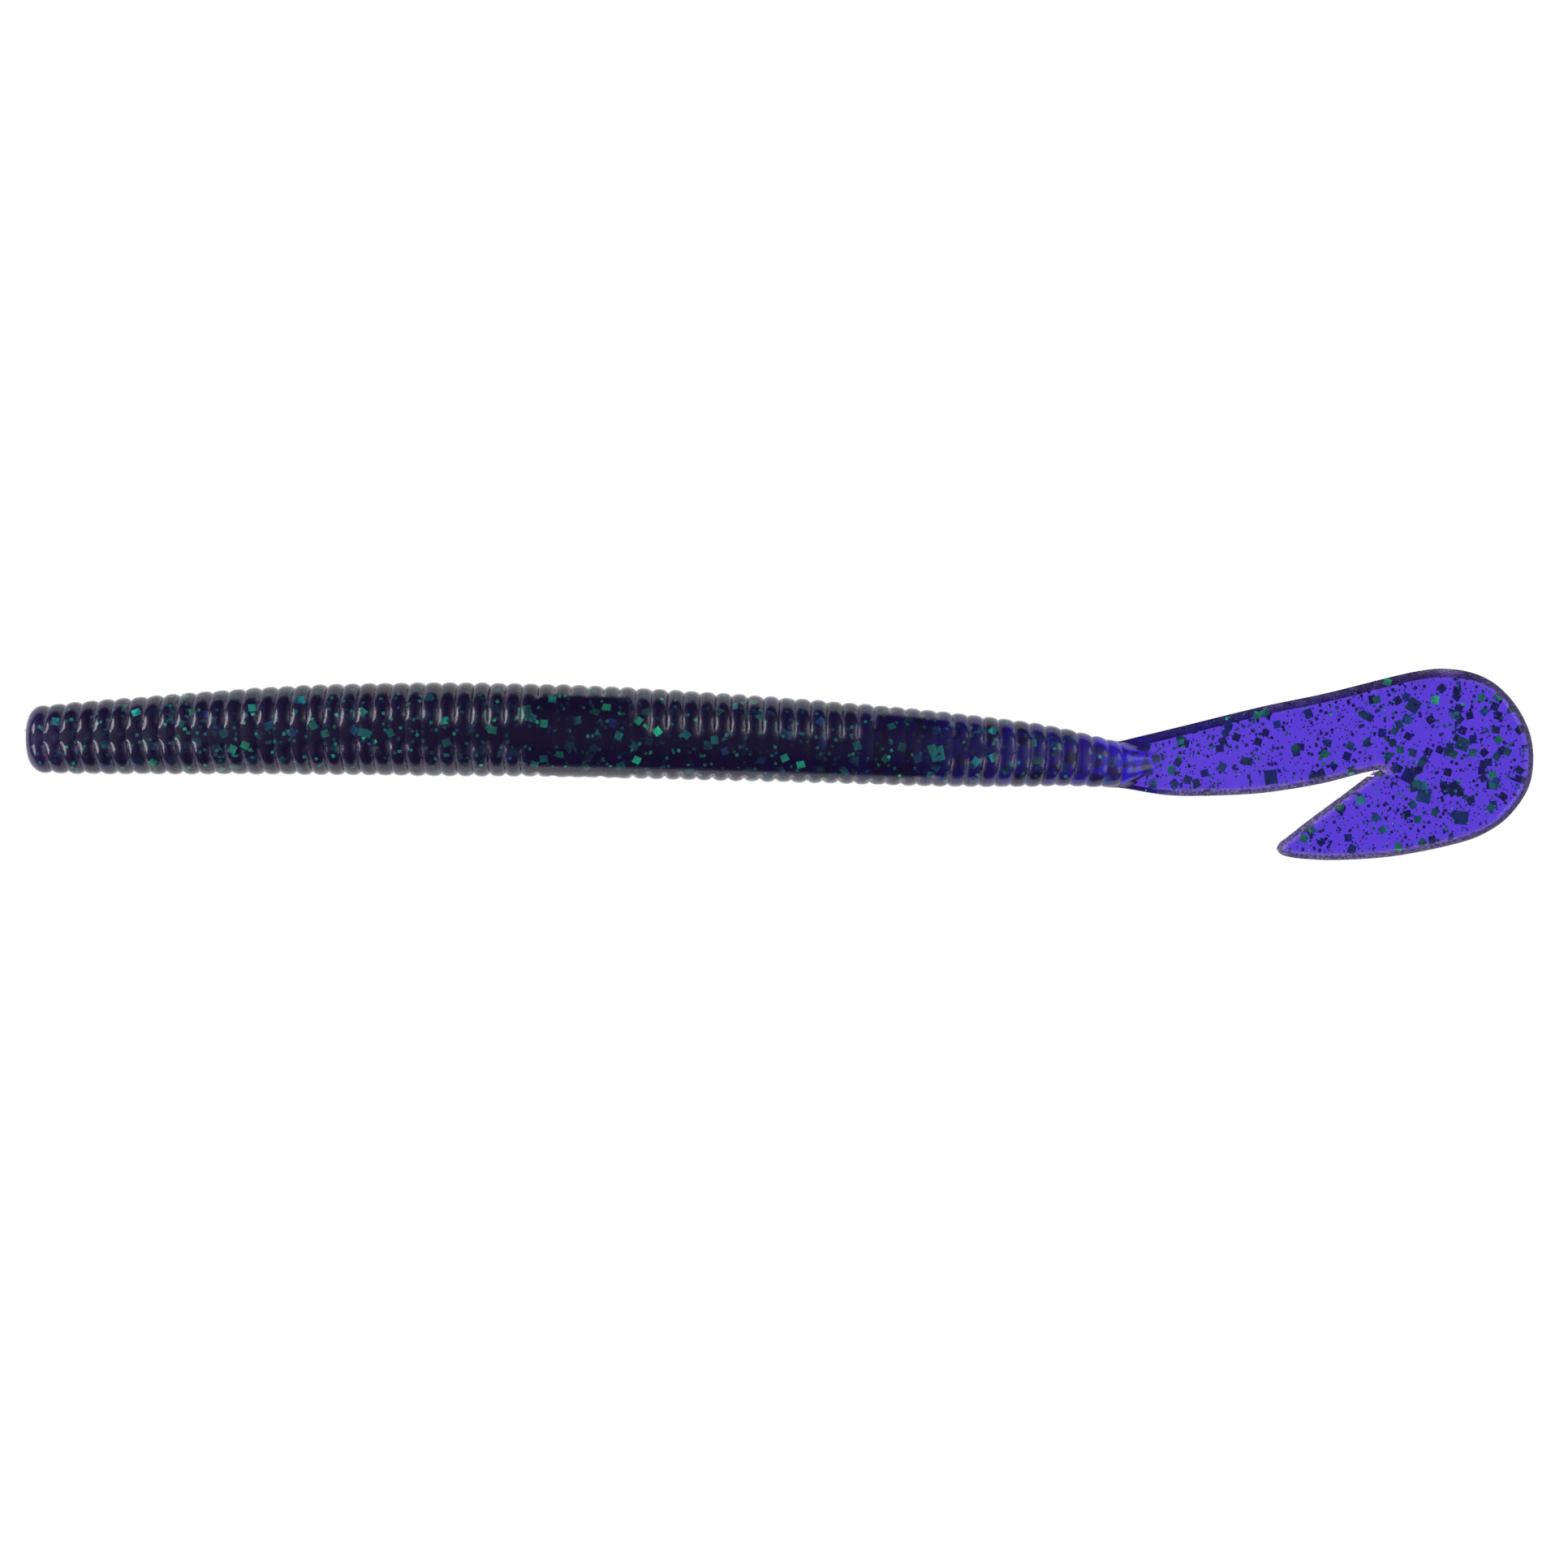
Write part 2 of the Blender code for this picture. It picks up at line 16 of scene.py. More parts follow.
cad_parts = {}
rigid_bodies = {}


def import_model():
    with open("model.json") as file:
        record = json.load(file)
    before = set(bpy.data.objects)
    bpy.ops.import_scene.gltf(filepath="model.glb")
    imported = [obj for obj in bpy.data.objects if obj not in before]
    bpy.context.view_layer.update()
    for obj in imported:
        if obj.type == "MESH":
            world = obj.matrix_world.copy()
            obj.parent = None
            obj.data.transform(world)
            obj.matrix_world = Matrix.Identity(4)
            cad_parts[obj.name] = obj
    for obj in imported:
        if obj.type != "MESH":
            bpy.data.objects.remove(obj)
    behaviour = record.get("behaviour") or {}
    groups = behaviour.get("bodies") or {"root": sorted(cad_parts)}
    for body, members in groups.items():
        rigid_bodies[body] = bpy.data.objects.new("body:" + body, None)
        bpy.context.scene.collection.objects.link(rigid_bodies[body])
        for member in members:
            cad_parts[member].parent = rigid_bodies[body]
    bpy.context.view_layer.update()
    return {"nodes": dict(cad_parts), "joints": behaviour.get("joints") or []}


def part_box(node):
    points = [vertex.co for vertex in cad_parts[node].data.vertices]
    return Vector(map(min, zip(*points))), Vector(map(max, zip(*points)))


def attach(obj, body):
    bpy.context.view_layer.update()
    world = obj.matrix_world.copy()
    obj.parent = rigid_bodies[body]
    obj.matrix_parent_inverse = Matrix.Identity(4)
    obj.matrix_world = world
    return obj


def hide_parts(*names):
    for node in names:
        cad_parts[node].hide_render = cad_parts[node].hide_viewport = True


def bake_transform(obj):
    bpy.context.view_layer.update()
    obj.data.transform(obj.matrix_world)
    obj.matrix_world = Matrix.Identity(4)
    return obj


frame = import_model()

MM = 0.001
RANDOM = np.random.default_rng(7)

# Body: radius over the rings, bow of its axis, and where the axis of the flat tail lies
BODY_RADIUS = (
    (-83.9, 3.85), (-79.8, 4.10), (-70.6, 4.48), (-61.4, 4.85), (-52.1, 5.13), (-38.0, 5.32),
    (-24.4, 5.25), (-10.6, 5.05), (3.3, 4.72), (17.1, 4.30), (26.4, 3.80), (31.0, 3.38),
    (35.6, 2.88), (38.4, 2.50), (39.8, 2.08), (41.3, 1.58), (42.8, 1.10), (44.2, 0.70), (44.8, 0.40),
)
AXIS_Y = (
    (-85.8, 2.75), (-75.2, 3.15), (-57.0, 3.80), (-43.0, 3.95), (-24.4, 3.75), (-6.0, 3.03),
    (7.9, 2.32), (21.7, 1.47), (31.0, 0.85), (38.4, 0.0), (42.9, 0.35), (51.0, 0.6),
)
STEM_HEIGHT = ((38.4, 2.55), (46.0, 1.76), (54.5, 1.06), (57.5, 0.98), (60.0, 0.98))
BELLY_LIFT = 0.05
NOSE_X = -85.66
NOSE_FACE_RADIUS = 1.6
NOSE_EDGE_LENGTH = 1.85
NOSE_EDGE_ROWS = 14
CONE_END_X = 44.8
CONE_STEP = 0.13  # between rows of points
UPRIGHT_ENDS = (36, 43)  # along X, where the sections turn upright for the flat tail

# Rings: groove n is at FIRST_GROOVE_X + n * FIRST_PITCH - n * n * PITCH_SHRINK
FIRST_GROOVE_X = -83.07
FIRST_PITCH = 1.877
PITCH_SHRINK = 0.00099
LAST_GROOVE = 67
GROOVE_DEPTH = 0.35
GROOVE_POWER = 2.6  # how round a ring's top is
DEPTH_SPREAD = 0.15  # how much the grooves' depths differ, as a share
REAR_GROOVES, REAR_SHALLOWER = (38, 62), 0.25  # grooves over which they get shallower, by this share
LAST_SHALLOWER = 0.4  # and the last ones by this
SWELL = 0.03  # how much the rings' tops differ
CONE_BLEND = 0.5  # how far the cone and the flat stem run into each other
FIRST_CREST_X = -84.0
LAST_CREST_X = 38.9
AROUND = 128  # points around the body
PER_RING = 12  # rows of points to a ring

# The mould's grain, which dulls the grooves' edges. A lavender diffuse laid on it is a painted glint of
# the lamps on the grooves' edges, stronger on the slopes that face the bright nose lamps
GROOVE_GRAIN_AND_GLINT = 1.05
GRAIN_FROM = 0.68  # of the way from a ring's top to its groove
# painted glint: the slope towards the tail faces the dimmer tail lamps, so it gets this share
TAIL_FLANK_GRAIN_AND_GLINT = 0.5  # on a ring's slope towards the tail, beside that towards the nose
TRACE_GRAIN = 0.04  # everywhere else
GRAIN_SIDES, SIDE_SMOOTHER = (50, 78), 0.9  # degrees from straight up over which it fades, by this share
GRAIN_REAR, REAR_SMOOTHER = (18, 34), 0.6  # along X, likewise

# A film of oil levels the grooves along the top. Its edges are angles from straight up, towards
# +Y and -Y, at stations along X
FILM_EDGES = (
    (-85.0, 12, -10), (-66.0, 11, -12), (-62.0, 9, -27), (-55.0, 9, -27), (-51.0, 8, -17),
    (-31.6, 9, -20), (-29.0, 12, -26), (-27.2, 54, -84), (-17.6, 54, -84), (-16.4, 3, -62),
    (5.0, 5, -62), (9.6, 6, -62), (11.0, 60, -62), (17.0, 60, -54), (18.4, 24, -14),
    (22.0, 15, -9), (26.0, 0, 0), (30.0, 0, 0),
)
FILM_SOFTNESS = 7.0
FILM_RAGGED = 3.5  # how far its edge strays from groove to groove
FILM_END_X = 27.0
FILM_FILL = 0.93  # the share of a groove that it fills

# Blade outline in three smooth runs: outer edge from the root round to the hook's tip, the
# hook's inner edge up to the notch, and the stem's lower edge back to the root
OUTER_EDGE = (
    (36.6, 2.1), (38.0, 2.5), (45.4, 4.3), (54.6, 6.55), (62.0, 8.1), (69.4, 9.95),
    (72.6, 10.64), (75.4, 10.92), (78.6, 10.5), (81.3, 9.25), (83.6, 6.95), (85.2, 4.0),
    (85.75, 0.9), (85.3, -2.4), (83.6, -5.2), (81.3, -7.25), (77.6, -8.9), (70.2, -10.45),
    (63.6, -10.95), (59.6, -10.82), (57.8, -10.58), (56.85, -10.25), (56.42, -9.62),
)
HOOK_INNER_EDGE = (
    (56.75, -8.98), (57.6, -8.33), (60.4, -6.15), (64.2, -3.35), (67.0, -1.25), (68.1, -0.75),
)
NOTCH = (68.3, -0.65)
STEM_LOWER_EDGE = (
    (66.3, -1.0), (61.1, -2.3), (54.6, -3.3), (48.0, -3.62), (43.5, -3.5), (38.0, -2.6),
    (36.6, -2.2),
)
STEM_UPPER_POINTS = 8  # how many of the outer edge's points run along the stem
HALF_THICKNESS = 0.98
EDGE_LAND = 0.06  # half height of the narrow upright edge
WIDE_BEVEL = 1.5  # along the upper edge
NARROW_BEVEL = 1.0  # along the others
ROUND_END = (76, 84)  # along X, where the bevel narrows at the tail's round end
WAVE = 0.012  # height of the gentle waves in the blade's face
BLADE_START_X = 36.6
FROST_START_X = 41.0
STEM_CUT_X = 51.0
BLADE_CUT_X = 67.6
HOOK_CUT_X = 63.75
CUT_GAP = 0.004  # between two spans

# A sliver of flash on the nose's face: where, and how far out and how wide it is along its length
FLASH_PLACE = (-85.6, 3.9, 4.6)
FLASH_LEAN = 0.25  # sideways, for each millimetre out
FLASH_FLATNESS = 0.7  # its height beside its width
FLASH_RINGS = ((0.0, 0.24), (0.05, 0.20), (0.16, 0.12), (0.30, 0.06), (0.38, 0.02))
FLASH_SIDES = 12

# Joints: where the last body span ends, and half the length over which a span would bend, along X,
# though the spans are not bent here
LAST_BODY_CREST = 65.5  # in grooves
BODY_BEND = 4.2
TAIL_BEND = {"tail_flap_1": 3.5, "tail_flap_2": 3.5, "tail_flap_3": 4.0,
             "hook_flap_1": 1.05, "hook_flap_2": 2.0}
BLENDED_FROM_BEHIND = ("head_curl_2",)  # rounding would spoil this one's blend the other way about; bend() treats it like the rest

# Glitter: flakes to a cubic millimetre, and their sides
LARGE_FLAKE, LARGE_DENSITY, LARGE_TAIL_DENSITY = 0.90, 0.15, 0.17
FINE_FLAKE, FINE_DENSITY, FINE_TAIL_DENSITY = 0.36, 0.8, 0.45
LARGE_MARGIN, FINE_MARGIN, TAIL_MARGIN, DUST_MARGIN = 0.20, 0.12, 0.19, 0.1  # under the skin
LARGE_TILT, FINE_TILT, LARGE_TAIL_TILT, FINE_TAIL_TILT, GIANT_TILT = 22, 35, 17, 30, 5  # degrees
GIANT_FLAKE = 1.6
GIANT_PLACES = ((-29.0, 24.0), (17.3, -9.0))  # x, and angle from straight up
GIANT_TAIL_PLACES = (  # x, y, and height over the blade's middle
    (55.7, -1.4, 0.0), (72.0, 6.7, 0.1), (77.6, 2.3, 0.25), (71.5, -1.3, -0.3), (73.2, -3.6, 0.2),
    (76.6, -2.8, -0.1), (77.5, -6.1, 0.1),
)
DUST_FLAKE, DUST_DENSITY = 0.18, 1.5
FLAKE_DEPTH = 1.3  # deeper flakes in the dark body can't be seen, and are left out
FLAKE_THICKNESS = 0.02
GIANT_DEPTH = 0.35  # of the giant body flakes, under the grooves
EMERALD, TEAL, BLUE = (0.03, 0.95, 0.30), (0.03, 0.90, 0.48), (0.03, 0.25, 0.45)
BLUE_SHARE = 0.08
TAIL_BLUENESS = 0.8  # how much of their blue the tail's flakes have
FOIL_ROUGHNESS, RULED_ROUGHNESS = 0.22, 0.12  # and how much more between the fine rules
RULE_SCALE, RULE_DISTORTION = 6.0, 0.6

# Plastic: what a metre of it absorbs of red, green and blue light. Dark flake dust makes up for
# more of it in the thick body
BODY_ABSORPTION = (1000.0, 1050.0, 560.0)
REAR_ABSORPTION = (820.0, 1200.0, 310.0)
FADE_ENDS = (-12.0, 36.0)  # along X, where the plastic changes from the one to the other
TAIL_ABSORPTION = (1130.0, 1560.0, 155.0)
PLASTIC_IOR = 1.5
CLOUD_TINT, CLOUD_SHARE = (0.19, 0.08, 0.70), 0.04  # a milky violet, and how much of it there is
NOSE_CLOUD, NOSE_CLOUD_ENDS = 0.05, (-79, -85)  # how much more in the nose, and where it starts, along X
CONE_CLOUD, CONE_CLOUD_START, CONE_CLOUD_END = 0.09, (30, 38), (44, 40)
# lavender diffuse: frost on the blade's edges, and in the body's grooves a painted glint of the lamps
FROST_AND_GLINT_TINT, FROST_AND_GLINT_SHARE = (0.46, 0.38, 0.62), 0.5
WIDE_EDGE_CLEARER, ROUND_EDGE_CLEARER = 0.88, 0.4  # how much less frost these edges of the blade have
GRAIN_SCALE, UNEVEN_SCALE = 3400.0, 900.0  # of the mould's grain, and of the bare skin's unevenness
GRAIN_START, GRAIN_CONTRAST = 0.42, 4.0
BARE_ROUGHNESS, FROST_ROUGHNESS, LEAST_ROUGHNESS = 0.16, 0.3, 0.02
UNEVENNESS = 0.15  # beside the grain's height


# --- Curves ---


def smooth_through(stations, x):
    """Values at x of a smooth curve through (x, value) stations."""
    xs, ys = np.array(stations, float).T[:2]
    before, after = np.r_[0, :len(xs) - 1], np.r_[1:len(xs), len(xs) - 1]
    slopes = (ys[after] - ys[before]) / (xs[after] - xs[before])
    x = np.clip(x, xs[0], xs[-1])
    i = np.clip(np.searchsorted(xs, x, "right") - 1, 0, len(xs) - 2)
    h = xs[i + 1] - xs[i]
    t = (x - xs[i]) / h
    start = (1 + 2 * t) * (1 - t) ** 2 * ys[i] + t * (1 - t) ** 2 * h * slopes[i]
    return start + t * t * (3 - 2 * t) * ys[i + 1] - t * t * (1 - t) * h * slopes[i + 1]


def smooth_outline(points, steps):
    """Points along a smooth curve through the given points, ends included."""
    p = np.array(points, float)
    p = np.vstack([p[0], p, p[-1]])
    out = []
    for p0, p1, p2, p3 in zip(p, p[1:], p[2:], p[3:]):
        for t in np.arange(steps) / steps:
            out.append(0.5 * (2 * p1 + (p2 - p0) * t + (2 * p0 - 5 * p1 + 4 * p2 - p3) * t ** 2
                              + (p3 - p0 + 3 * (p1 - p2)) * t ** 3))
    return np.array(out + [p[-1]])


def smoothstep(low, high, x):
    """0 up to low and 1 from high on, with a smooth rise between. It falls where high is under low."""
    t = np.clip((x - low) / (high - low), 0, 1)
    return t * t * (3 - 2 * t)


def smooth_max(a, b, reach):
    """The larger of a and b, rounded where they are within reach of each other."""
    return np.maximum(a, b) + np.maximum(reach - np.abs(a - b), 0) ** 2 / (4 * reach)


# --- Body ---


def groove_x(n):
    """Where groove n is, along X."""
    return FIRST_GROOVE_X + n * FIRST_PITCH - n * n * PITCH_SHRINK


def groove_number(x):
    """The inverse of groove_x, also between grooves."""
    inside = FIRST_PITCH ** 2 - 4 * PITCH_SHRINK * (x - FIRST_GROOVE_X)
    return (FIRST_PITCH - np.sqrt(inside)) / (2 * PITCH_SHRINK)


def body_radius(x):
    return smooth_through(BODY_RADIUS, x)


def axis_height(x):
    """How high the axis lies, along the body and then the tail."""
    return np.where(x < STEM_HEIGHT[0][0], body_radius(x) + BELLY_LIFT, smooth_through(STEM_HEIGHT, x))


def axis_frames(x):
    """Axis points, and the sideways and upward directions of the rings there."""
    def points(x):
        return np.stack([x, smooth_through(AXIS_Y, x), axis_height(x)], 1)

    reach = 0.8
    ahead = points(x + reach) - points(x - reach)
    ahead[:, 1:] *= (1 - smoothstep(*UPRIGHT_ENDS, x))[:, None]
    ahead /= np.linalg.norm(ahead, axis=1)[:, None]
    side = np.cross((0, 0, 1), ahead)
    side /= np.linalg.norm(side, axis=1)[:, None]
    return points(x), side, np.cross(ahead, side), ahead


GROOVE_DEPTHS = GROOVE_DEPTH * RANDOM.uniform(1 - DEPTH_SPREAD, 1 + DEPTH_SPREAD, LAST_GROOVE + 2)
GROOVE_DEPTHS *= 1 - REAR_SHALLOWER * smoothstep(*REAR_GROOVES, np.arange(LAST_GROOVE + 2))
GROOVE_DEPTHS[LAST_GROOVE - 1:] *= 1 - LAST_SHALLOWER
RING_SWELL = RANDOM.uniform(-SWELL, SWELL, LAST_GROOVE + 2)
FILM_JITTER = RANDOM.uniform(-FILM_RAGGED, FILM_RAGGED, (LAST_GROOVE + 2, 2))


def ring_relief(x, angle):
    """Over rows x and angles around (0 at +Y, 90 up): how far the skin lies under the crests, how
    level the oil lies, and how much of the mould's grain, with its painted glint, shows in the grooves."""
    number = np.clip(groove_number(x), -0.5, LAST_GROOVE + 0.5)
    across = 2 * (number - np.floor(number)) - 1  # -1 and 1 in the grooves, 0 on the crest
    across = np.where(x < FIRST_GROOVE_X, (x - FIRST_CREST_X) / (FIRST_GROOVE_X - FIRST_CREST_X), across)
    last_x = groove_x(LAST_GROOVE)
    across = np.where(x > last_x, (x - LAST_CREST_X) / (LAST_CREST_X - last_x), across)
    across = np.where((x < FIRST_CREST_X) | (x > LAST_CREST_X), 0, across)
    groove = np.clip(np.round(number), 0, LAST_GROOVE).astype(int)
    up = (angle[None, :] - 90 + 180) % 360 - 180  # from straight up, towards -Y
    middle = groove_x(groove)
    plus = np.interp(middle, *np.array(FILM_EDGES).T[[0, 1]]) + FILM_JITTER[groove, 0]
    minus = np.interp(middle, *np.array(FILM_EDGES).T[[0, 2]]) + FILM_JITTER[groove, 1]
    level = (smoothstep(minus - FILM_SOFTNESS, minus + FILM_SOFTNESS, -up.T).T
             * smoothstep(-plus - FILM_SOFTNESS, -plus + FILM_SOFTNESS, up.T).T)
    level *= (middle < FILM_END_X)[:, None]
    depth = GROOVE_DEPTHS[groove][:, None] * np.abs(across[:, None]) ** GROOVE_POWER
    swell = RING_SWELL[np.clip(np.floor(number), 0, LAST_GROOVE).astype(int)] * (1 - np.abs(across))
    # painted glint: the slope towards the nose faces the brighter nose lamps and gets the most; none
    # shows under the oil
    shoulder_grain_and_glint = smoothstep(GRAIN_FROM, 1.0, np.abs(across)) * np.where(across < 0, 1.0, TAIL_FLANK_GRAIN_AND_GLINT)
    grain = shoulder_grain_and_glint[:, None] * (1 - level) * (1 - SIDE_SMOOTHER * smoothstep(*GRAIN_SIDES, np.abs(up)))
    grain += TRACE_GRAIN * (1 - level)
    grain *= 1 - REAR_SMOOTHER * smoothstep(*GRAIN_REAR, x)[:, None]
    grain *= ((x > NOSE_X + 0.4) & (x < LAST_CREST_X))[:, None]
    return depth * (1 - FILM_FILL * level) - swell[:, None], level, GROOVE_GRAIN_AND_GLINT * grain


def blade_edges(x):
    """The stem's upper and lower edge at x, and each edge's slope."""
    upper = smooth_outline(OUTER_EDGE[:STEM_UPPER_POINTS], 8)
    lower = smooth_outline(STEM_LOWER_EDGE, 8)[::-1]
    out = []
    for edge in (upper, lower):
        y = np.interp(x, *edge.T)
        out += [y, (np.interp(x + 0.3, *edge.T) - np.interp(x - 0.3, *edge.T)) / 0.6]
    return out


def bevel_height(distance, width):
    """Half the blade's thickness at a distance from its outline, where its bevel is this wide."""
    t = distance / width
    ramp = np.minimum(t, 1) - np.maximum(0.08 - np.abs(t - 1), 0) ** 2 / 0.32
    return EDGE_LAND + (HALF_THICKNESS - EDGE_LAND) * ramp


def stem_radius(x, centre_y, angle):
    """Distances from the axis to the flat stem's surface, over rows x and angles around."""
    upper, upper_slope, lower, lower_slope = blade_edges(x)
    out = np.zeros((len(x), len(angle)))
    fold = np.radians(np.abs((angle + 180) % 360 - 180))  # the stem is alike above and below
    for i in range(len(x)):
        y = np.linspace(lower[i], upper[i], 400)
        high = bevel_height((upper[i] - y) * math.cos(math.atan(upper_slope[i])), WIDE_BEVEL)
        low = bevel_height((y - lower[i]) * math.cos(math.atan(lower_slope[i])), NARROW_BEVEL)
        y, z = np.r_[lower[i], y, upper[i]] - centre_y[i], np.r_[0, np.minimum(high, low), 0]
        out[i] = np.interp(fold, np.arctan2(z, y)[::-1], np.hypot(y, z)[::-1])
    return out


def body_rows():
    """Rows along X from the nose to the end of the lofted stem, and a limit to each row's radius."""
    rows = [(NOSE_X, NOSE_FACE_RADIUS * k / 4) for k in (1, 2, 3)]
    for a in np.linspace(0, math.pi / 2, NOSE_EDGE_ROWS):
        wide = NOSE_FACE_RADIUS + (body_radius(NOSE_X) - NOSE_FACE_RADIUS) * math.sin(a)
        rows.append((NOSE_X + NOSE_EDGE_LENGTH * (1 - math.cos(a)), wide))
    free = 99.0  # no limit
    rows += [(x, free) for x in np.linspace(NOSE_X + NOSE_EDGE_LENGTH, FIRST_GROOVE_X, 7)[1:-1]]
    spread = (1 + np.sin(np.linspace(-1, 1, PER_RING + 1)[:-1] * math.pi / 2)) / 2
    for n in range(LAST_GROOVE):
        rows += [(groove_x(n + s), free) for s in spread]
    rows += [(x, free) for x in np.arange(groove_x(LAST_GROOVE), CONE_END_X + 0.3, CONE_STEP)]
    rows += [(x, free) for x in np.linspace(rows[-1][0], STEM_CUT_X, 24)[1:]]
    return np.array(rows).T


def even_spread(points, half):
    """Points moved along each row's outline so that both its halves have them evenly spread."""
    out = np.empty((len(points), 2 * half, 3))
    for row, dense in zip(out, points):
        count = len(dense) // 2
        closed = np.vstack([dense, dense[:1]])
        for k in (0, 1):
            run = closed[k * count:(k + 1) * count + 1]
            along = np.r_[0, np.cumsum(np.linalg.norm(np.diff(run, axis=0), axis=1))]
            want = np.linspace(0, along[-1], half + 1)[:-1]
            row[k * half:(k + 1) * half] = np.stack([np.interp(want, along, c) for c in run.T], 1)
    return out


def body_surface():
    """Rows x, skin points (rows, around, 3), how level the oil lies and how grainy the skin is, with
    its painted glint, at each, and axis points and directions."""
    x, limit = body_rows()
    angle = np.arange(AROUND) * 360 / AROUND
    relief, level, grain = ring_relief(x, angle)
    centre, side, up, ahead = axis_frames(x)
    radius = np.minimum(body_radius(x)[:, None] - relief, limit[:, None])

    def around(radius, angle, rows):
        a = np.radians(angle)[None, :, None]
        turn = np.cos(a) * side[rows, None, :] + np.sin(a) * up[rows, None, :]
        return centre[rows, None, :] + radius[:, :, None] * turn

    points = around(radius, angle, slice(None))
    flat = np.where(x >= BLADE_START_X)[0]
    fine = np.arange(AROUND * 10) * 36 / AROUND
    body = np.clip(body_radius(x[flat])[:, None] - ring_relief(x[flat], fine)[0], 0, None)
    stem = stem_radius(x[flat], centre[flat, 1], fine)
    points[flat] = even_spread(around(smooth_max(body, stem, CONE_BLEND), fine, flat), AROUND // 2)
    return x, points, level, grain, centre, ahead


# --- Blade ---


def blade_outline():
    """The blade's outline past the lofted stem, as points about a quarter of a millimetre apart,
    anticlockwise from the stem's lower edge, with each point's bevel width."""
    outer = smooth_outline(OUTER_EDGE, 16)
    inner = smooth_outline((OUTER_EDGE[-1], *HOOK_INNER_EDGE, NOTCH), 14)[1:]
    lower = smooth_outline((NOTCH, *STEM_LOWER_EDGE), 18)[1:]
    line = np.vstack([outer, inner, lower])
    along = np.r_[0, np.cumsum(np.linalg.norm(np.diff(line, axis=0), axis=1))]
    want = np.linspace(0, along[-1], int(along[-1] / 0.25))
    line = np.stack([np.interp(want, along, c) for c in line.T], 1)
    on_top = (want < along[len(outer) - 1]) & (line[:, 1] > 0)
    narrowing = smoothstep(*ROUND_END, line[:, 0])
    width = np.where(on_top, WIDE_BEVEL + (NARROW_BEVEL - WIDE_BEVEL) * narrowing, NARROW_BEVEL)
    return line[::-1], width[::-1]


def nearest(points, line):
    """Each point's distance to a line of points, and the index of the nearest."""
    best, index = np.full(len(points), 1e9), np.zeros(len(points), int)
    a, b = line[:-1], line[1:]
    chunk = 2000  # points at a time, to spare memory
    for k in range(0, len(points), chunk):
        p = points[k:k + chunk, None, :]
        t = np.clip(((p - a) * (b - a)).sum(2) / np.maximum(((b - a) ** 2).sum(1), 1e-12), 0, 1)
        d = np.linalg.norm(p - (a + t[..., None] * (b - a)), axis=2)
        index[k:k + chunk] = d.argmin(1)
        best[k:k + chunk] = d.min(1)
    return best, index


def inside(points, line):
    """True for each point inside a closed line."""
    a, b = line, np.roll(line, -1, 0)
    p = points[:, None, :]
    crosses = (a[:, 1] > p[..., 1]) != (b[:, 1] > p[..., 1])
    rise = np.where(b[:, 1] == a[:, 1], 1e-9, b[:, 1] - a[:, 1])
    x = a[:, 0] + (p[..., 1] - a[:, 1]) * (b[:, 0] - a[:, 0]) / rise
    return (crosses & (p[..., 0] < x)).sum(1) % 2 == 1


OUTLINE, BEVEL_WIDTHS = blade_outline()
BEVEL_ROWS = (0.1, 0.22, 0.36, 0.52, 0.66, 0.75, 0.88, 1.04, 1.22, 1.4, 1.5, 1.6)  # from the outline
PLAIN_STEP = 0.8  # between the points within them


def blade_fill():
    """Points inside the outline: rows that follow its bevel, and an even grid within them."""
    step = np.roll(OUTLINE, -1, 0) - np.roll(OUTLINE, 1, 0)
    inward = np.stack([-step[:, 1], step[:, 0]], 1) / np.linalg.norm(step, axis=1)[:, None]
    kept = []
    for d in BEVEL_ROWS:
        every = 1 if d < 1 else 2
        row = OUTLINE[::every] + d * inward[::every]
        kept.append(row[(nearest(row, OUTLINE)[0] > d - 0.03) & inside(row, OUTLINE)])
    x, y = np.meshgrid(np.arange(37, 86, PLAIN_STEP), np.arange(-11, 11, PLAIN_STEP * 0.87))
    x[::2] += PLAIN_STEP / 2
    grid = np.stack([x.ravel(), y.ravel()], 1)
    away = nearest(grid, OUTLINE)[0]
    kept.append(grid[(away > BEVEL_ROWS[-1] + 0.4) & inside(grid, OUTLINE)])
    return np.vstack(kept)


def slit_y(x, sink=0.0):
    """A line within the slit between stem and hook, which ends this far under the notch."""
    return np.interp(x, (50, 57, NOTCH[0]), (-6, -6, NOTCH[1] - sink))


def blade_region(name):
    """The closed outline of one part of the blade, cut by upright planes."""
    near, far = {"stem": (STEM_CUT_X, BLADE_CUT_X), "round": (BLADE_CUT_X, 99),
                 "hook_base": (HOOK_CUT_X, BLADE_CUT_X), "hook_tip": (0, HOOK_CUT_X)}[name]
    x, y = OUTLINE.T
    in_hook = y < slit_y(x, 0.03)
    keep = (x > near) & (x < far)
    if name != "round":
        keep &= in_hook if name.startswith("hook") else ~in_hook
    line = list(OUTLINE[keep])
    out = []
    for i, p in enumerate(line):
        out.append(p)
        q = line[(i + 1) % len(line)]
        if np.linalg.norm(q - p) > 0.6:
            out += across_cut(p, q, near, far)
    return np.array(out)


def across_cut(p, q, near, far):
    """Points along the cut between two outline points beside it."""
    cut = near + CUT_GAP / 2 if abs(p[0] - near) < abs(p[0] - far) else far - CUT_GAP / 2
    count = max(int(abs(q[1] - p[1]) / 0.4), 2)
    return [np.array((cut, p[1] + (q[1] - p[1]) * t)) for t in np.linspace(0, 1, count + 1)]


def edge_frost(distance, index):
    """How frosted the blade is at a distance from the outline point that has this index."""
    width = BEVEL_WIDTHS[index]
    narrow = 1 - WIDE_EDGE_CLEARER * smoothstep(NARROW_BEVEL, WIDE_BEVEL, width)
    thin_end = 1 - ROUND_EDGE_CLEARER * smoothstep(*ROUND_END, OUTLINE[index, 0])
    return smoothstep(1.0, 0.7, distance / width) * narrow * thin_end


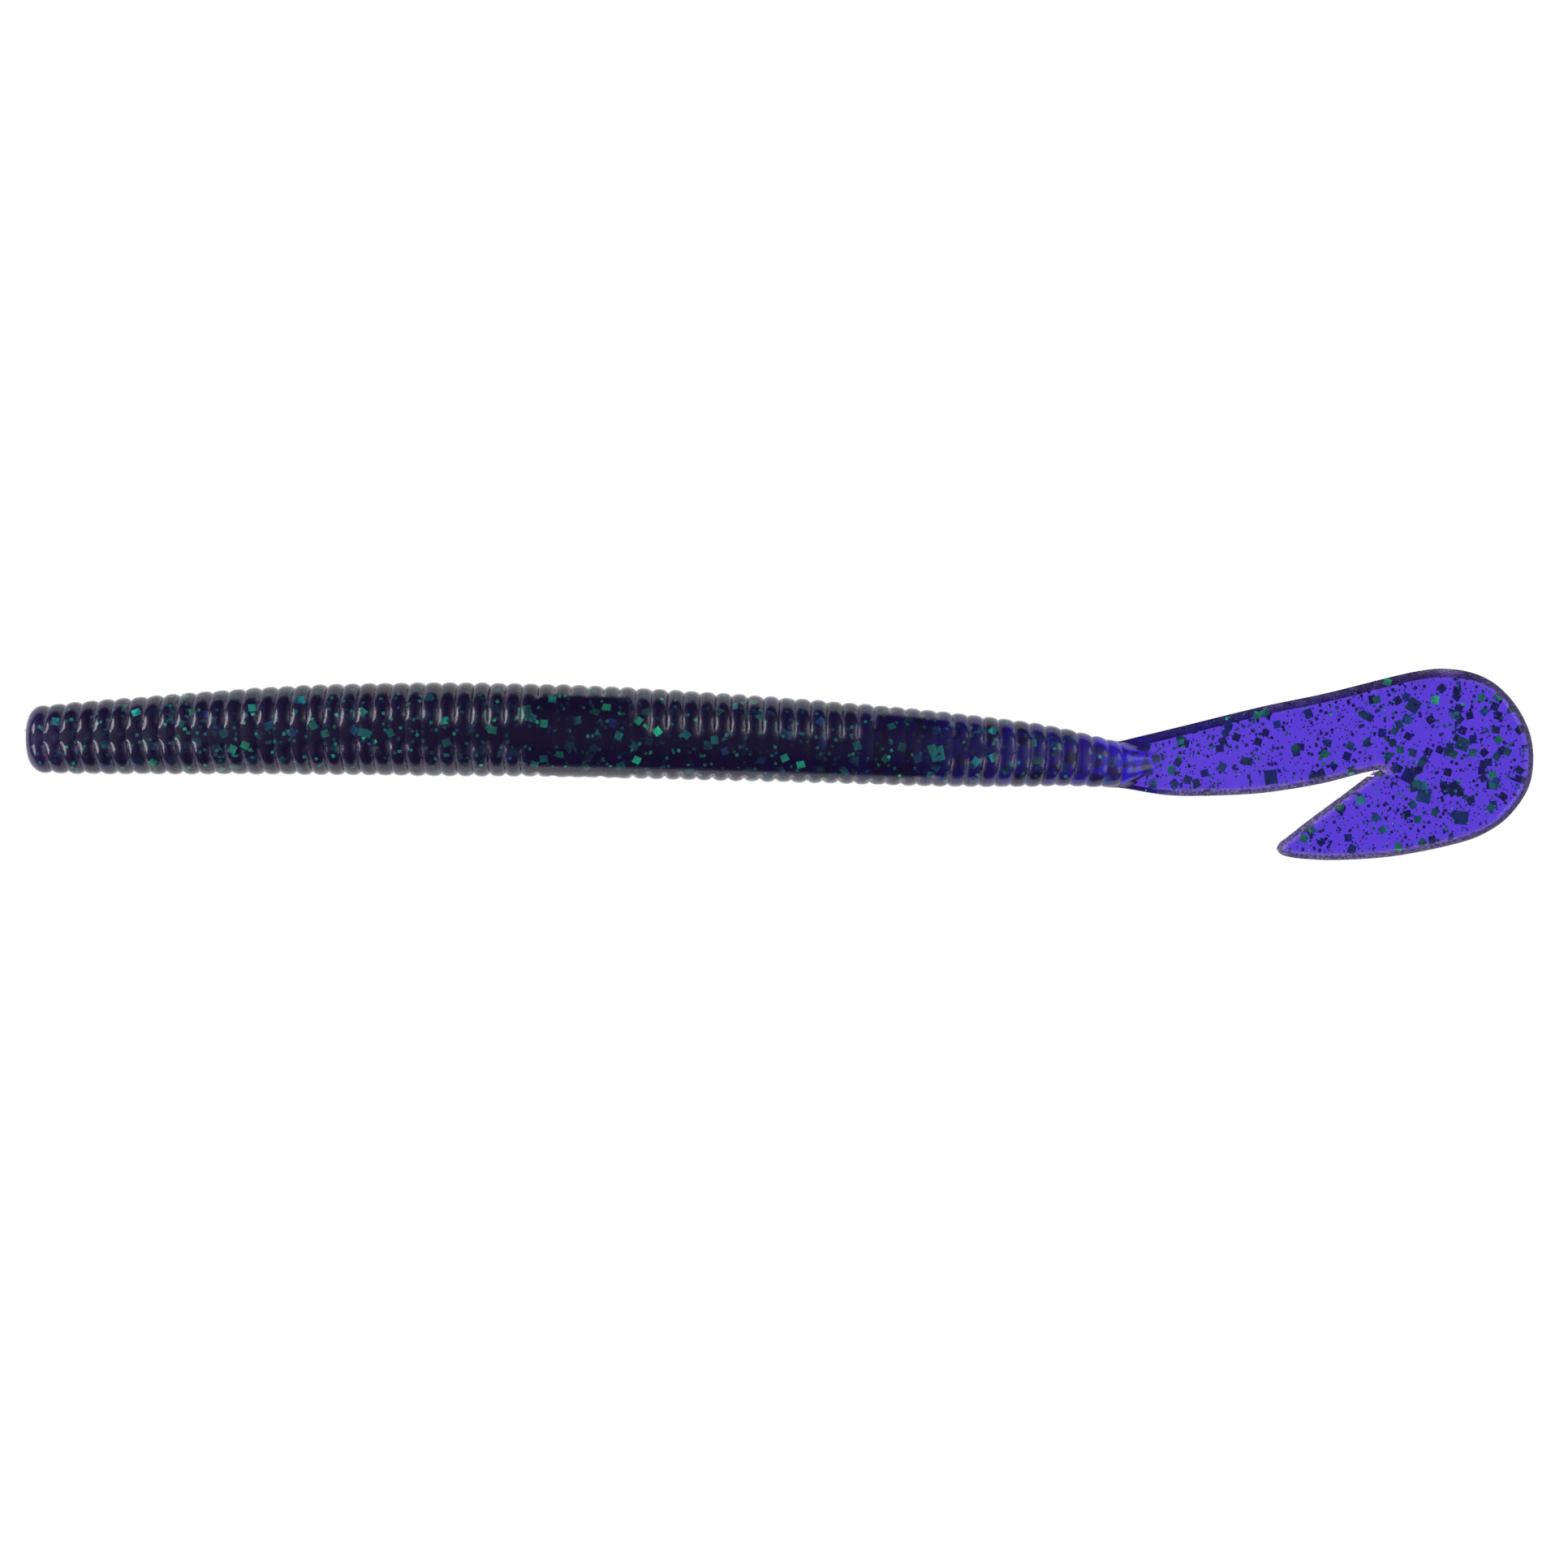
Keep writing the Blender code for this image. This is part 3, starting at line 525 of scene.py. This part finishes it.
def blade_mesh(name):
    """Vertices, faces and which faces are cuts, for one part of the blade."""
    loop = blade_region(name)
    cuts = [x for x in (STEM_CUT_X, BLADE_CUT_X, HOOK_CUT_X) if name != "round" or x == BLADE_CUT_X]
    fill = BLADE_FILL[inside(BLADE_FILL, loop)]
    for cut in cuts:
        fill = fill[np.abs(fill[:, 0] - cut) > 0.12]
    points = [Vector(p) for p in np.vstack([loop, fill])]
    flat, _, faces, *_ = geometry.delaunay_2d_cdt(points, [], [list(range(len(loop)))], 1, 1e-5)
    flat = np.array([tuple(p) for p in flat])
    used = np.unique(np.concatenate([np.array(f) for f in faces]))
    number = {old: new for new, old in enumerate(used)}
    faces = [[number[v] for v in f] for f in faces]
    flat = flat[used]
    distance, index = nearest(flat, np.vstack([OUTLINE, OUTLINE[:1]]))
    index %= len(OUTLINE)
    half = bevel_height(np.where(distance < 1e-3, 0, distance), BEVEL_WIDTHS[index])
    middle = axis_height(flat[:, 0])
    wave = WAVE * np.sin(flat[:, 0] * 0.9 + 2 * np.sin(flat[:, 1] * 0.5)) * np.sin(flat[:, 1] * 0.8 + 1)
    wave *= smoothstep(0.9, 2.0, distance)
    top = np.column_stack([flat, middle + half + wave])
    bottom = np.column_stack([flat, middle - half])
    count = len(flat)
    edges = {(f[i], f[(i + 1) % len(f)]) for f in faces for i in range(len(f))}
    rim = [(a, b) for a, b in edges if (b, a) not in edges]
    walls = [(b, a, a + count, b + count) for a, b in rim]
    is_cut = [any(abs(flat[a, 0] - c) < 0.02 and abs(flat[b, 0] - c) < 0.02 for c in cuts)
              for a, b in rim]
    faces = faces + [[v + count for v in reversed(f)] for f in faces]
    flags = [False] * len(faces) + is_cut
    frost_and_glint = edge_frost(distance, index)
    return np.vstack([top, bottom]), faces + walls, flags, np.r_[frost_and_glint, frost_and_glint]


# --- Objects ---


def make_object(name, points, faces, material, smooth=True):
    """An object from points in millimetres."""
    mesh = bpy.data.meshes.new(name)
    mesh.from_pydata((np.asarray(points) * MM).tolist(), [], [list(map(int, f)) for f in faces])
    mesh.polygons.foreach_set("use_smooth", [smooth] * len(mesh.polygons))
    mesh.materials.append(material)
    ob = bpy.data.objects.new(name, mesh)
    bpy.context.scene.collection.objects.link(ob)
    return ob


def store(mesh, name, domain, values):
    """Keeps a number for each point or face, for the material to read."""
    mesh.attributes.new(name, "FLOAT", domain).data.foreach_set("value", np.asarray(values, np.float32))


def make_skin(name, points, faces, cuts, film, frost_and_glint, material):
    """One span's closed skin. cuts flags the faces where it meets its neighbours."""
    ob = make_object(name, points, faces, material)
    mesh = ob.data
    store(mesh, "cut", "FACE", cuts)
    store(mesh, "film", "POINT", film)
    # painted glint in the body's grooves, real frost on the blade's edges
    store(mesh, "frost_and_glint", "POINT", frost_and_glint)
    x = np.array(points)[:, 0]
    cloud = CLOUD_SHARE + NOSE_CLOUD * smoothstep(*NOSE_CLOUD_ENDS, x)
    cloud += CONE_CLOUD * smoothstep(*CONE_CLOUD_START, x) * smoothstep(*CONE_CLOUD_END, x)
    store(mesh, "cloud", "POINT", cloud)
    cuts = np.array(cuts, bool)
    mesh.polygons.foreach_set("use_smooth", ~cuts)
    mesh.set_sharp_from_angle(angle=math.radians(60))
    return ob


def body_span(rows, name, material):
    """The closed skin from one row to another."""
    first, last = rows
    grid = BODY_POINTS[first:last + 1].copy()
    grid[0] += AHEAD[first] * CUT_GAP / 2
    grid[-1] -= AHEAD[last] * CUT_GAP / 2
    count = len(grid)
    middles = [CENTRES[first] + AHEAD[first] * CUT_GAP / 2, CENTRES[last] - AHEAD[last] * CUT_GAP / 2]
    points = np.vstack([grid.reshape(-1, 3), middles])
    quads, nexts = [], (np.arange(AROUND) + 1) % AROUND
    for i in range(count - 1):
        here, there = i * AROUND, (i + 1) * AROUND
        quads += [(here + j, here + k, there + k, there + j) for j, k in enumerate(nexts)]
    front, back = count * AROUND, (count - 1) * AROUND
    fans = [(front, k, j) for j, k in enumerate(nexts)]
    fans += [(front + 1, back + j, back + k) for j, k in enumerate(nexts)]
    flags = [False] * len(quads) + [first > 0] * AROUND + [True] * AROUND
    film = np.r_[LEVELS[first:last + 1].ravel(), 0, 0]
    # the grooves' grain, with its painted glint
    frost_and_glint = np.r_[GRAINS_AND_GLINTS[first:last + 1].ravel(), 0, 0]
    on_blade = np.where(points[:, 0] > FROST_START_X)[0]
    if len(on_blade):
        distance, index = nearest(points[on_blade, :2], OUTLINE)
        fade = smoothstep(FROST_START_X, FROST_START_X + 4, points[on_blade, 0])
        frost_and_glint[on_blade] = edge_frost(distance, index) * fade
    return make_skin(name, points, quads + fans, flags, film, frost_and_glint, material)


def make_nose_flash(material):
    """The sliver of plastic left on the nose's face where the mould was filled."""
    x, y, z = FLASH_PLACE
    turns = np.arange(FLASH_SIDES) * 2 * math.pi / FLASH_SIDES
    points = [(x - out, y - FLASH_LEAN * out + r * math.cos(t), z + FLASH_FLATNESS * r * math.sin(t))
              for out, r in FLASH_RINGS for t in turns]
    first, last = range(FLASH_SIDES), range(len(points) - FLASH_SIDES, len(points))
    faces = [tuple(first), tuple(reversed(last))]
    for start in range(0, last[0], FLASH_SIDES):
        for j in first:
            k = (j + 1) % FLASH_SIDES
            faces.append((start + k, start + j, start + j + FLASH_SIDES, start + k + FLASH_SIDES))
    return make_object("nose_flash", points, faces, material)


# --- Materials ---


def node_material(name):
    material = bpy.data.materials.new(name)
    material.use_nodes = True
    tree = material.node_tree
    return material, tree, tree.nodes["Principled BSDF"], tree.nodes["Material Output"]


def add(tree, kind, **inputs):
    """A new node with these input values. An underscore in a name stands for a space."""
    node = tree.nodes.new(kind)
    for key, value in inputs.items():
        node.inputs[key.replace("_", " ")].default_value = value
    return node


def attribute(tree, name):
    node = tree.nodes.new("ShaderNodeAttribute")
    node.attribute_name = name
    return node.outputs["Fac"]


def maths(tree, operation, a, b):
    node = tree.nodes.new("ShaderNodeMath")
    node.operation = operation
    for socket, value in zip(node.inputs, (a, b)):
        if isinstance(value, (int, float)):
            socket.default_value = value
        else:
            tree.links.new(value, socket)
    return node.outputs[0]


def noise(tree, scale, detail=3.0):
    where = tree.nodes.new("ShaderNodeTexCoord")
    node = add(tree, "ShaderNodeTexNoise", Scale=scale, Detail=detail)
    tree.links.new(where.outputs["Object"], node.inputs["Vector"])
    return node.outputs["Fac"]


def plastisol(name, absorption):
    """Clear soft plastic that takes up red and green light, with a trace of violet cloud in it. Its
    bare skin is a little rough, the oil on it is smooth, and the blade's narrow edges are frosted.
    A lavender diffuse goes on the frost, and in the body's grooves it is a painted glint of the lamps."""
    material, tree, shader, output = node_material(name)
    links = tree.links
    shader.inputs["Base Color"].default_value = (1, 1, 1, 1)
    shader.inputs["Transmission Weight"].default_value = 1.0
    shader.inputs["IOR"].default_value = PLASTIC_IOR
    solid = maths(tree, "SUBTRACT", 1.0, attribute(tree, "cut"))
    frost_and_glint = attribute(tree, "frost_and_glint")
    grain = maths(tree, "SUBTRACT", noise(tree, GRAIN_SCALE, 1.0), GRAIN_START)
    grain = maths(tree, "MULTIPLY", grain, GRAIN_CONTRAST)
    grain = maths(tree, "MINIMUM", maths(tree, "MAXIMUM", grain, 0.0), 1.0)
    dry = maths(tree, "SUBTRACT", 1.0, attribute(tree, "film"))
    uneven = noise(tree, UNEVEN_SCALE)
    bare = maths(tree, "MULTIPLY", dry, maths(tree, "MULTIPLY", uneven, BARE_ROUGHNESS))
    rough = maths(tree, "ADD", bare, maths(tree, "MULTIPLY", frost_and_glint, FROST_ROUGHNESS))
    links.new(maths(tree, "ADD", rough, LEAST_ROUGHNESS), shader.inputs["Roughness"])
    bump = add(tree, "ShaderNodeBump", Strength=0.4, Distance=0.00003)
    height = maths(tree, "MULTIPLY", uneven, UNEVENNESS)
    height = maths(tree, "ADD", height, maths(tree, "MULTIPLY", grain, frost_and_glint))
    links.new(height, bump.inputs["Height"])
    links.new(bump.outputs["Normal"], shader.inputs["Normal"])
    links.new(solid, shader.inputs["Alpha"])
    # lavender where frosted: real frost on the blade's edges, painted glint in the body's grooves
    tint = tree.nodes.new("ShaderNodeMix")
    tint.data_type = "RGBA"
    tint.inputs["A"].default_value = (*CLOUD_TINT, 1)
    tint.inputs["B"].default_value = (*FROST_AND_GLINT_TINT, 1)
    links.new(frost_and_glint, tint.inputs["Factor"])
    cloud = tree.nodes.new("ShaderNodeBsdfDiffuse")
    links.new(tint.outputs["Result"], cloud.inputs["Color"])
    # how much lavender diffuse: frost speckle, and in the grooves a painted glint
    speckle_and_glint = maths(tree, "MULTIPLY", frost_and_glint, maths(tree, "MULTIPLY", grain, FROST_AND_GLINT_SHARE))
    mix = tree.nodes.new("ShaderNodeMixShader")
    share = maths(tree, "ADD", speckle_and_glint, attribute(tree, "cloud"))
    links.new(maths(tree, "MULTIPLY", share, solid), mix.inputs[0])
    links.new(shader.outputs[0], mix.inputs[1])
    links.new(cloud.outputs[0], mix.inputs[2])
    links.new(mix.outputs[0], output.inputs["Surface"])
    volume = tree.nodes.new("ShaderNodeVolumeAbsorption")
    most = max(absorption)
    volume.inputs["Color"].default_value = (*(1 - a / most for a in absorption), 1)
    volume.inputs["Density"].default_value = most
    links.new(volume.outputs["Volume"], output.inputs["Volume"])
    return material


def foil(name):
    """Metallised flakes in greens from emerald to teal, finely ruled across."""
    material, tree, shader, _ = node_material(name)
    links = tree.links
    tint = tree.nodes.new("ShaderNodeAttribute")
    tint.attribute_name = "tint"
    links.new(tint.outputs["Color"], shader.inputs["Base Color"])
    shader.inputs["Metallic"].default_value = 1.0
    ruled = add(tree, "ShaderNodeTexWave", Scale=RULE_SCALE, Distortion=RULE_DISTORTION)
    uv = tree.nodes.new("ShaderNodeUVMap")
    uv.uv_map = "flake"
    links.new(uv.outputs["UV"], ruled.inputs["Vector"])
    rough = maths(tree, "MULTIPLY", ruled.outputs["Fac"], RULED_ROUGHNESS)
    links.new(maths(tree, "ADD", rough, FOIL_ROUGHNESS), shader.inputs["Roughness"])
    bump = add(tree, "ShaderNodeBump", Strength=0.3, Distance=0.00002)
    links.new(ruled.outputs["Fac"], bump.inputs["Height"])
    links.new(bump.outputs["Normal"], shader.inputs["Normal"])
    return material


# --- Glitter ---


def body_flakes(density, size, margin):
    """Centres and outward directions of flakes spread evenly through the body."""
    low, high = np.array((NOSE_X + 0.8, -5.4, -5.4)), np.array((CONE_END_X - 3.3, 5.4, 5.4))
    tries = RANDOM.uniform(low, high, (int(density * np.prod(high - low)), 3))
    x, angle = tries[:, 0], np.degrees(np.arctan2(tries[:, 2], tries[:, 1])) % 360
    nearest_angle = (angle / 360 * AROUND).astype(int) % AROUND
    around = np.arange(AROUND) * 360 / AROUND
    pick = np.arange(len(x)), nearest_angle
    relief = np.max([ring_relief(x + s * size / 2, around)[0][pick] for s in (-1, 0, 1)], axis=0)
    reach = body_radius(x) - relief - margin
    reach -= np.clip(NOSE_X + NOSE_EDGE_LENGTH - x, 0, None)
    from_axis = np.hypot(tries[:, 1], tries[:, 2])
    tries = tries[(from_axis < reach) & (from_axis > reach - FLAKE_DEPTH)]
    centre, side, up, _ = axis_frames(tries[:, 0])
    outward = side * tries[:, 1:2] + up * tries[:, 2:3]
    return centre + outward, outward / np.linalg.norm(outward, axis=1)[:, None]


def tail_flakes(density, margin):
    """Centres and outward directions of flakes spread evenly through the blade."""
    low, high = np.array((41.0, -11.0, -0.98)), np.array((86.0, 11.0, 0.98))
    tries = RANDOM.uniform(low, high, (int(density * np.prod(high - low)), 3))
    distance, index = nearest(tries[:, :2], OUTLINE)
    reach = bevel_height(distance, BEVEL_WIDTHS[index]) - margin
    fits = inside(tries[:, :2], OUTLINE) & (np.abs(tries[:, 2]) < reach) & (distance > 2 * margin)
    tries = tries[fits]
    tries[:, 2] += axis_height(tries[:, 0])
    return tries, np.tile((0.0, 0.0, 1.0), (len(tries), 1))


def giant_places():
    """Centres and outward directions of the giant flakes just under the body's skin."""
    x, angle = np.array(GIANT_PLACES).T
    centre, side, up, _ = axis_frames(x)
    outward = side * np.sin(np.radians(angle))[:, None] + up * np.cos(np.radians(angle))[:, None]
    return centre + outward * (body_radius(x) - GROOVE_DEPTH - GIANT_DEPTH)[:, None], outward


def giant_tail_places():
    """Centres and outward directions of the giant flakes in the blade."""
    centre = np.array(GIANT_TAIL_PLACES)
    centre[:, 2] += axis_height(centre[:, 0])
    return centre, np.tile((0.0, 0.0, 1.0), (len(centre), 1))


def flake_set(places, size, tilt, blueness=1.0):
    """Flakes as (centre, two half sides, normal, tint), turned at random and tilted by up to tilt
    degrees."""
    centres, outward = places
    count = len(centres)
    away = RANDOM.normal(size=(count, 3))
    away -= outward * (away * outward).sum(1)[:, None]
    away /= np.linalg.norm(away, axis=1)[:, None]
    lean = np.radians(tilt) * np.sqrt(RANDOM.random((count, 1)))
    normal = outward * np.cos(lean) + away * np.sin(lean)
    a = np.cross(normal, RANDOM.normal(size=(count, 3)))
    a /= np.linalg.norm(a, axis=1)[:, None]
    b = np.cross(normal, a)
    shape = RANDOM.uniform(0.9, 1.05, (2, count, 1)) * size / 2
    blue = RANDOM.random(count)[:, None] < BLUE_SHARE
    mix = RANDOM.random(count)[:, None]
    green = np.array(EMERALD) * (1 - mix) + np.array(TEAL) * mix
    tint = np.where(blue, BLUE, green) * (1, 1, blueness)
    return list(zip(centres, a * shape[0], b * shape[1], normal, tint))


def flakes_object(name, flakes, material):
    """One object of thin closed flakes."""
    points, faces = [], []
    for centre, a, b, normal, _ in flakes:
        start = len(points)
        thick = normal * FLAKE_THICKNESS / 2
        for s in (1, -1):
            points += [centre + s * thick + p for p in (a + b, b - a, -a - b, a - b)]
        top = [start, start + 1, start + 2, start + 3]
        faces += [top, [start + 7, start + 6, start + 5, start + 4]]
        faces += [(start + k, start + k + 4, start + (k + 1) % 4 + 4, start + (k + 1) % 4)
                  for k in range(4)]
    ob = make_object(name, points, faces, material, smooth=False)
    tints = np.repeat([(*f[4], 1) for f in flakes], 8, axis=0)
    ob.data.attributes.new("tint", "FLOAT_COLOR", "POINT").data.foreach_set("color", tints.ravel())
    corners = ((1, 1), (0, 1), (0, 0), (1, 0))
    square = [corners[v] for v in (0, 1, 2, 3, 3, 2, 1, 0)]
    around = [corners[v] for k in range(4) for v in (k, k, (k + 1) % 4, (k + 1) % 4)]
    uv = np.tile(np.array(square + around, float), (len(flakes), 1))
    ob.data.uv_layers.new(name="flake").data.foreach_set("uv", uv.ravel())
    return ob


# --- Scene ---

BODY_X, BODY_POINTS, LEVELS, GRAINS_AND_GLINTS, CENTRES, AHEAD = body_surface()
BLADE_FILL = blade_fill()

thin = plastisol("tail_plastisol", TAIL_ABSORPTION)
glitter = foil("glitter")

joints = {j["name"]: j for j in frame["joints"]}
body_joints = sorted((j for n, j in joints.items() if "flap" not in n), key=lambda j: j["pos_m"][0])
joint_grooves = [round(float(groove_number(j["pos_m"][0] / MM))) for j in body_joints]
crests = [math.floor((a + b) / 2) + 0.5 for a, b in zip(joint_grooves, joint_grooves[1:])]
crests.append(LAST_BODY_CREST)
cut_rows = [0] + [int(np.abs(BODY_X - groove_x(c)).argmin()) for c in crests] + [len(BODY_X) - 1]


def span_bodies(joint):
    """The joint's two bodies, the one nearer the nose first."""
    return sorted((joint["parent"], joint["child"]), key=lambda node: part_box(node)[1].x)


def bend(ob, joint):
    """Bakes the piece's placement into its mesh, the same way for every joint; it doesn't bend the
    piece.
    """
    if joint["name"] in BLENDED_FROM_BEHIND:
        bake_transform(ob)
    else:
        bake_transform(ob)


def stand_for(joint):
    """Makes a span's skin stand for the two CAD segments that it covers, and their flakes."""
    for body in span_bodies(joint):
        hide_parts(*(n for n in frame["nodes"] if n == body or n.startswith(f"glitter_{body}_")))


spans = []  # joint, skin, and half the length over which it would bend
for joint, first, last in zip(body_joints, cut_rows, cut_rows[1:]):
    rear = float(smoothstep(*FADE_ENDS, (BODY_X[first] + BODY_X[last]) / 2))
    absorption = [a + (b - a) * rear for a, b in zip(BODY_ABSORPTION, REAR_ABSORPTION)]
    plastic = plastisol(f"plastisol_{joint['name']}", absorption)
    spans.append((joint, body_span((first, last), f"skin_{joint['name']}", plastic), BODY_BEND))
flap = joints["tail_flap_1"]
spans.append((flap, body_span(cut_rows[-2:], "skin_tail_flap_1", thin), TAIL_BEND["tail_flap_1"]))
for joint_name, region in (("tail_flap_2", "stem"), ("tail_flap_3", "round"),
                           ("hook_flap_1", "hook_base"), ("hook_flap_2", "hook_tip")):
    points, faces, flags, frost_and_glint = blade_mesh(region)
    skin = make_skin(f"skin_{joint_name}", points, faces, flags, np.zeros(len(points)), frost_and_glint, thin)
    spans.append((joints[joint_name], skin, TAIL_BEND[joint_name]))

flakes = flake_set(body_flakes(LARGE_DENSITY, LARGE_FLAKE, LARGE_MARGIN), LARGE_FLAKE, LARGE_TILT)
flakes += flake_set(body_flakes(FINE_DENSITY, FINE_FLAKE, FINE_MARGIN), FINE_FLAKE, FINE_TILT)
in_tail = tail_flakes(LARGE_TAIL_DENSITY, TAIL_MARGIN)
flakes += flake_set(in_tail, LARGE_FLAKE, LARGE_TAIL_TILT, TAIL_BLUENESS)
in_tail = tail_flakes(FINE_TAIL_DENSITY, TAIL_MARGIN)
flakes += flake_set(in_tail, FINE_FLAKE, FINE_TAIL_TILT, TAIL_BLUENESS)
flakes += flake_set(tail_flakes(DUST_DENSITY, DUST_MARGIN), DUST_FLAKE, FINE_TAIL_TILT)
flakes += flake_set(giant_places(), GIANT_FLAKE, GIANT_TILT)
flakes += flake_set(giant_tail_places(), GIANT_FLAKE, GIANT_TILT, TAIL_BLUENESS)


def span_of(centre):
    """The joint whose span holds this point."""
    x, y = centre[:2]
    if x < STEM_CUT_X:
        edges = [BODY_X[r] for r in cut_rows[1:-1]]
        return ([j["name"] for j in body_joints] + ["tail_flap_1"])[int(np.searchsorted(edges, x))]
    if x > BLADE_CUT_X:
        return "tail_flap_3"
    if y >= slit_y(x):
        return "tail_flap_2"
    return "hook_flap_1" if x > HOOK_CUT_X else "hook_flap_2"


for joint, skin, half in spans:
    own = [f for f in flakes if span_of(f[0]) == joint["name"]]
    inner = flakes_object(f"flakes_{joint['name']}", own, glitter)
    bend(skin, joint)
    bend(inner, joint)
    stand_for(joint)

nose_skin = spans[0][1]
nose_flash = make_nose_flash(nose_skin.data.materials[0])
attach(nose_flash, span_bodies(spans[0][0])[0])


# --- Studio ---

FRAME_WIDTH = 178.4  # millimetres across the picture
CAMERA_HEIGHT = 480.0
WIDTH_HEIGHT = 3.0  # the height at which the picture is that wide
VIEW_CENTRE = (0.14, -2.26)
FLOOR_Z = -120.0  # the light table lies this far under the worm
FLOOR_HALF = 560.0
SOFTBOX_AWAY, SOFTBOX_ASIDE, SOFTBOX_HEIGHT = 620.0, 310.0, 265.0
SOFTBOX_SIZE = (300.0, 330.0)  # across, and up
NOSE_LIGHT, TAIL_LIGHT = 6.0, 1.8  # how bright they look beside the floor
# Height, from 0 straight down to 1 straight up, and how bright the room is there
ROOM = ((0.0, 1.0), (0.3, 1.0), (0.48, 0.06), (0.8, 0.06), (0.95, 0.13))
END_GLOW = 2.3  # how much brighter the room is past the worm's ends


def make_floor():
    """A plain white floor that glows like a light table."""
    material, tree, shader, output = node_material("light_table")
    tree.nodes.remove(shader)
    glow = add(tree, "ShaderNodeEmission", Strength=1.0)
    tree.links.new(glow.outputs[0], output.inputs["Surface"])
    corners = [(x * FLOOR_HALF, y * FLOOR_HALF, FLOOR_Z)
               for x, y in ((-1, -1), (1, -1), (1, 1), (-1, 1))]
    make_object("floor", corners, [(0, 1, 2, 3)], material, smooth=False)


def make_world():
    """A white surround for the picture, and around the worm a dark room over a white table, which
    is brighter past the worm's ends."""
    world = bpy.data.worlds.new("studio")
    bpy.context.scene.world = world
    world.use_nodes = True
    tree = world.node_tree
    where = tree.nodes.new("ShaderNodeTexCoord")
    split = tree.nodes.new("ShaderNodeSeparateXYZ")
    tree.links.new(where.outputs["Generated"], split.inputs[0])
    along, upward = split.outputs["X"], split.outputs["Z"]
    ramp = tree.nodes.new("ShaderNodeValToRGB")
    stops = ramp.color_ramp.elements
    while len(stops) < len(ROOM):
        stops.new(0.5)
    for stop, (position, brightness) in zip(stops, ROOM):
        stop.position = position
        stop.color = (brightness, brightness, brightness, 1)
    height = maths(tree, "MULTIPLY", maths(tree, "ADD", upward, 1.0), 0.5)
    tree.links.new(height, ramp.inputs[0])
    ends = maths(tree, "MULTIPLY", maths(tree, "MULTIPLY", along, along), END_GLOW)
    glow = maths(tree, "MULTIPLY", ends, maths(tree, "MAXIMUM", upward, 0.0))
    room = tree.nodes["Background"]
    room.inputs["Color"].default_value = (1, 1, 1, 1)
    tree.links.new(maths(tree, "ADD", ramp.outputs["Color"], glow), room.inputs["Strength"])
    surround = add(tree, "ShaderNodeBackground", Color=(1, 1, 1, 1))
    path = tree.nodes.new("ShaderNodeLightPath")
    mix = tree.nodes.new("ShaderNodeMixShader")
    tree.links.new(path.outputs["Is Camera Ray"], mix.inputs[0])
    tree.links.new(room.outputs[0], mix.inputs[1])
    tree.links.new(surround.outputs[0], mix.inputs[2])
    tree.links.new(mix.outputs[0], tree.nodes["World Output"].inputs["Surface"])


def make_softbox(name, x_side, y_side, brightness):
    """A softbox off one end of the worm, to one side, that faces it."""
    light = bpy.data.lights.new(name, "AREA")
    light.shape = "RECTANGLE"
    light.size, light.size_y = SOFTBOX_SIZE[0] * MM, SOFTBOX_SIZE[1] * MM
    light.energy = brightness * math.pi * light.size * light.size_y
    ob = bpy.data.objects.new(name, light)
    bpy.context.scene.collection.objects.link(ob)
    place = Vector((x_side * SOFTBOX_AWAY, y_side * SOFTBOX_ASIDE, SOFTBOX_HEIGHT)) * MM
    ob.location = place
    ob.rotation_euler = Vector((place.x, place.y, 0)).to_track_quat("Z", "Y").to_euler()
    ob.visible_camera = False


def make_camera():
    """A camera straight above the worm."""
    data = bpy.data.cameras.new("camera")
    data.sensor_width = 36.0
    data.lens = data.sensor_width * (CAMERA_HEIGHT - WIDTH_HEIGHT) / FRAME_WIDTH
    camera = bpy.data.objects.new("camera", data)
    bpy.context.scene.collection.objects.link(camera)
    camera.location = Vector((*VIEW_CENTRE, CAMERA_HEIGHT)) * MM
    bpy.context.scene.camera = camera


make_floor()
make_world()
for end_name, x_side, brightness in (("nose", -1, NOSE_LIGHT), ("tail", 1, TAIL_LIGHT)):
    for side_name, y_side in (("near", -1), ("far", 1)):
        make_softbox(f"softbox_{end_name}_{side_name}", x_side, y_side, brightness)
make_camera()
bpy.context.scene.view_settings.view_transform = "Standard"
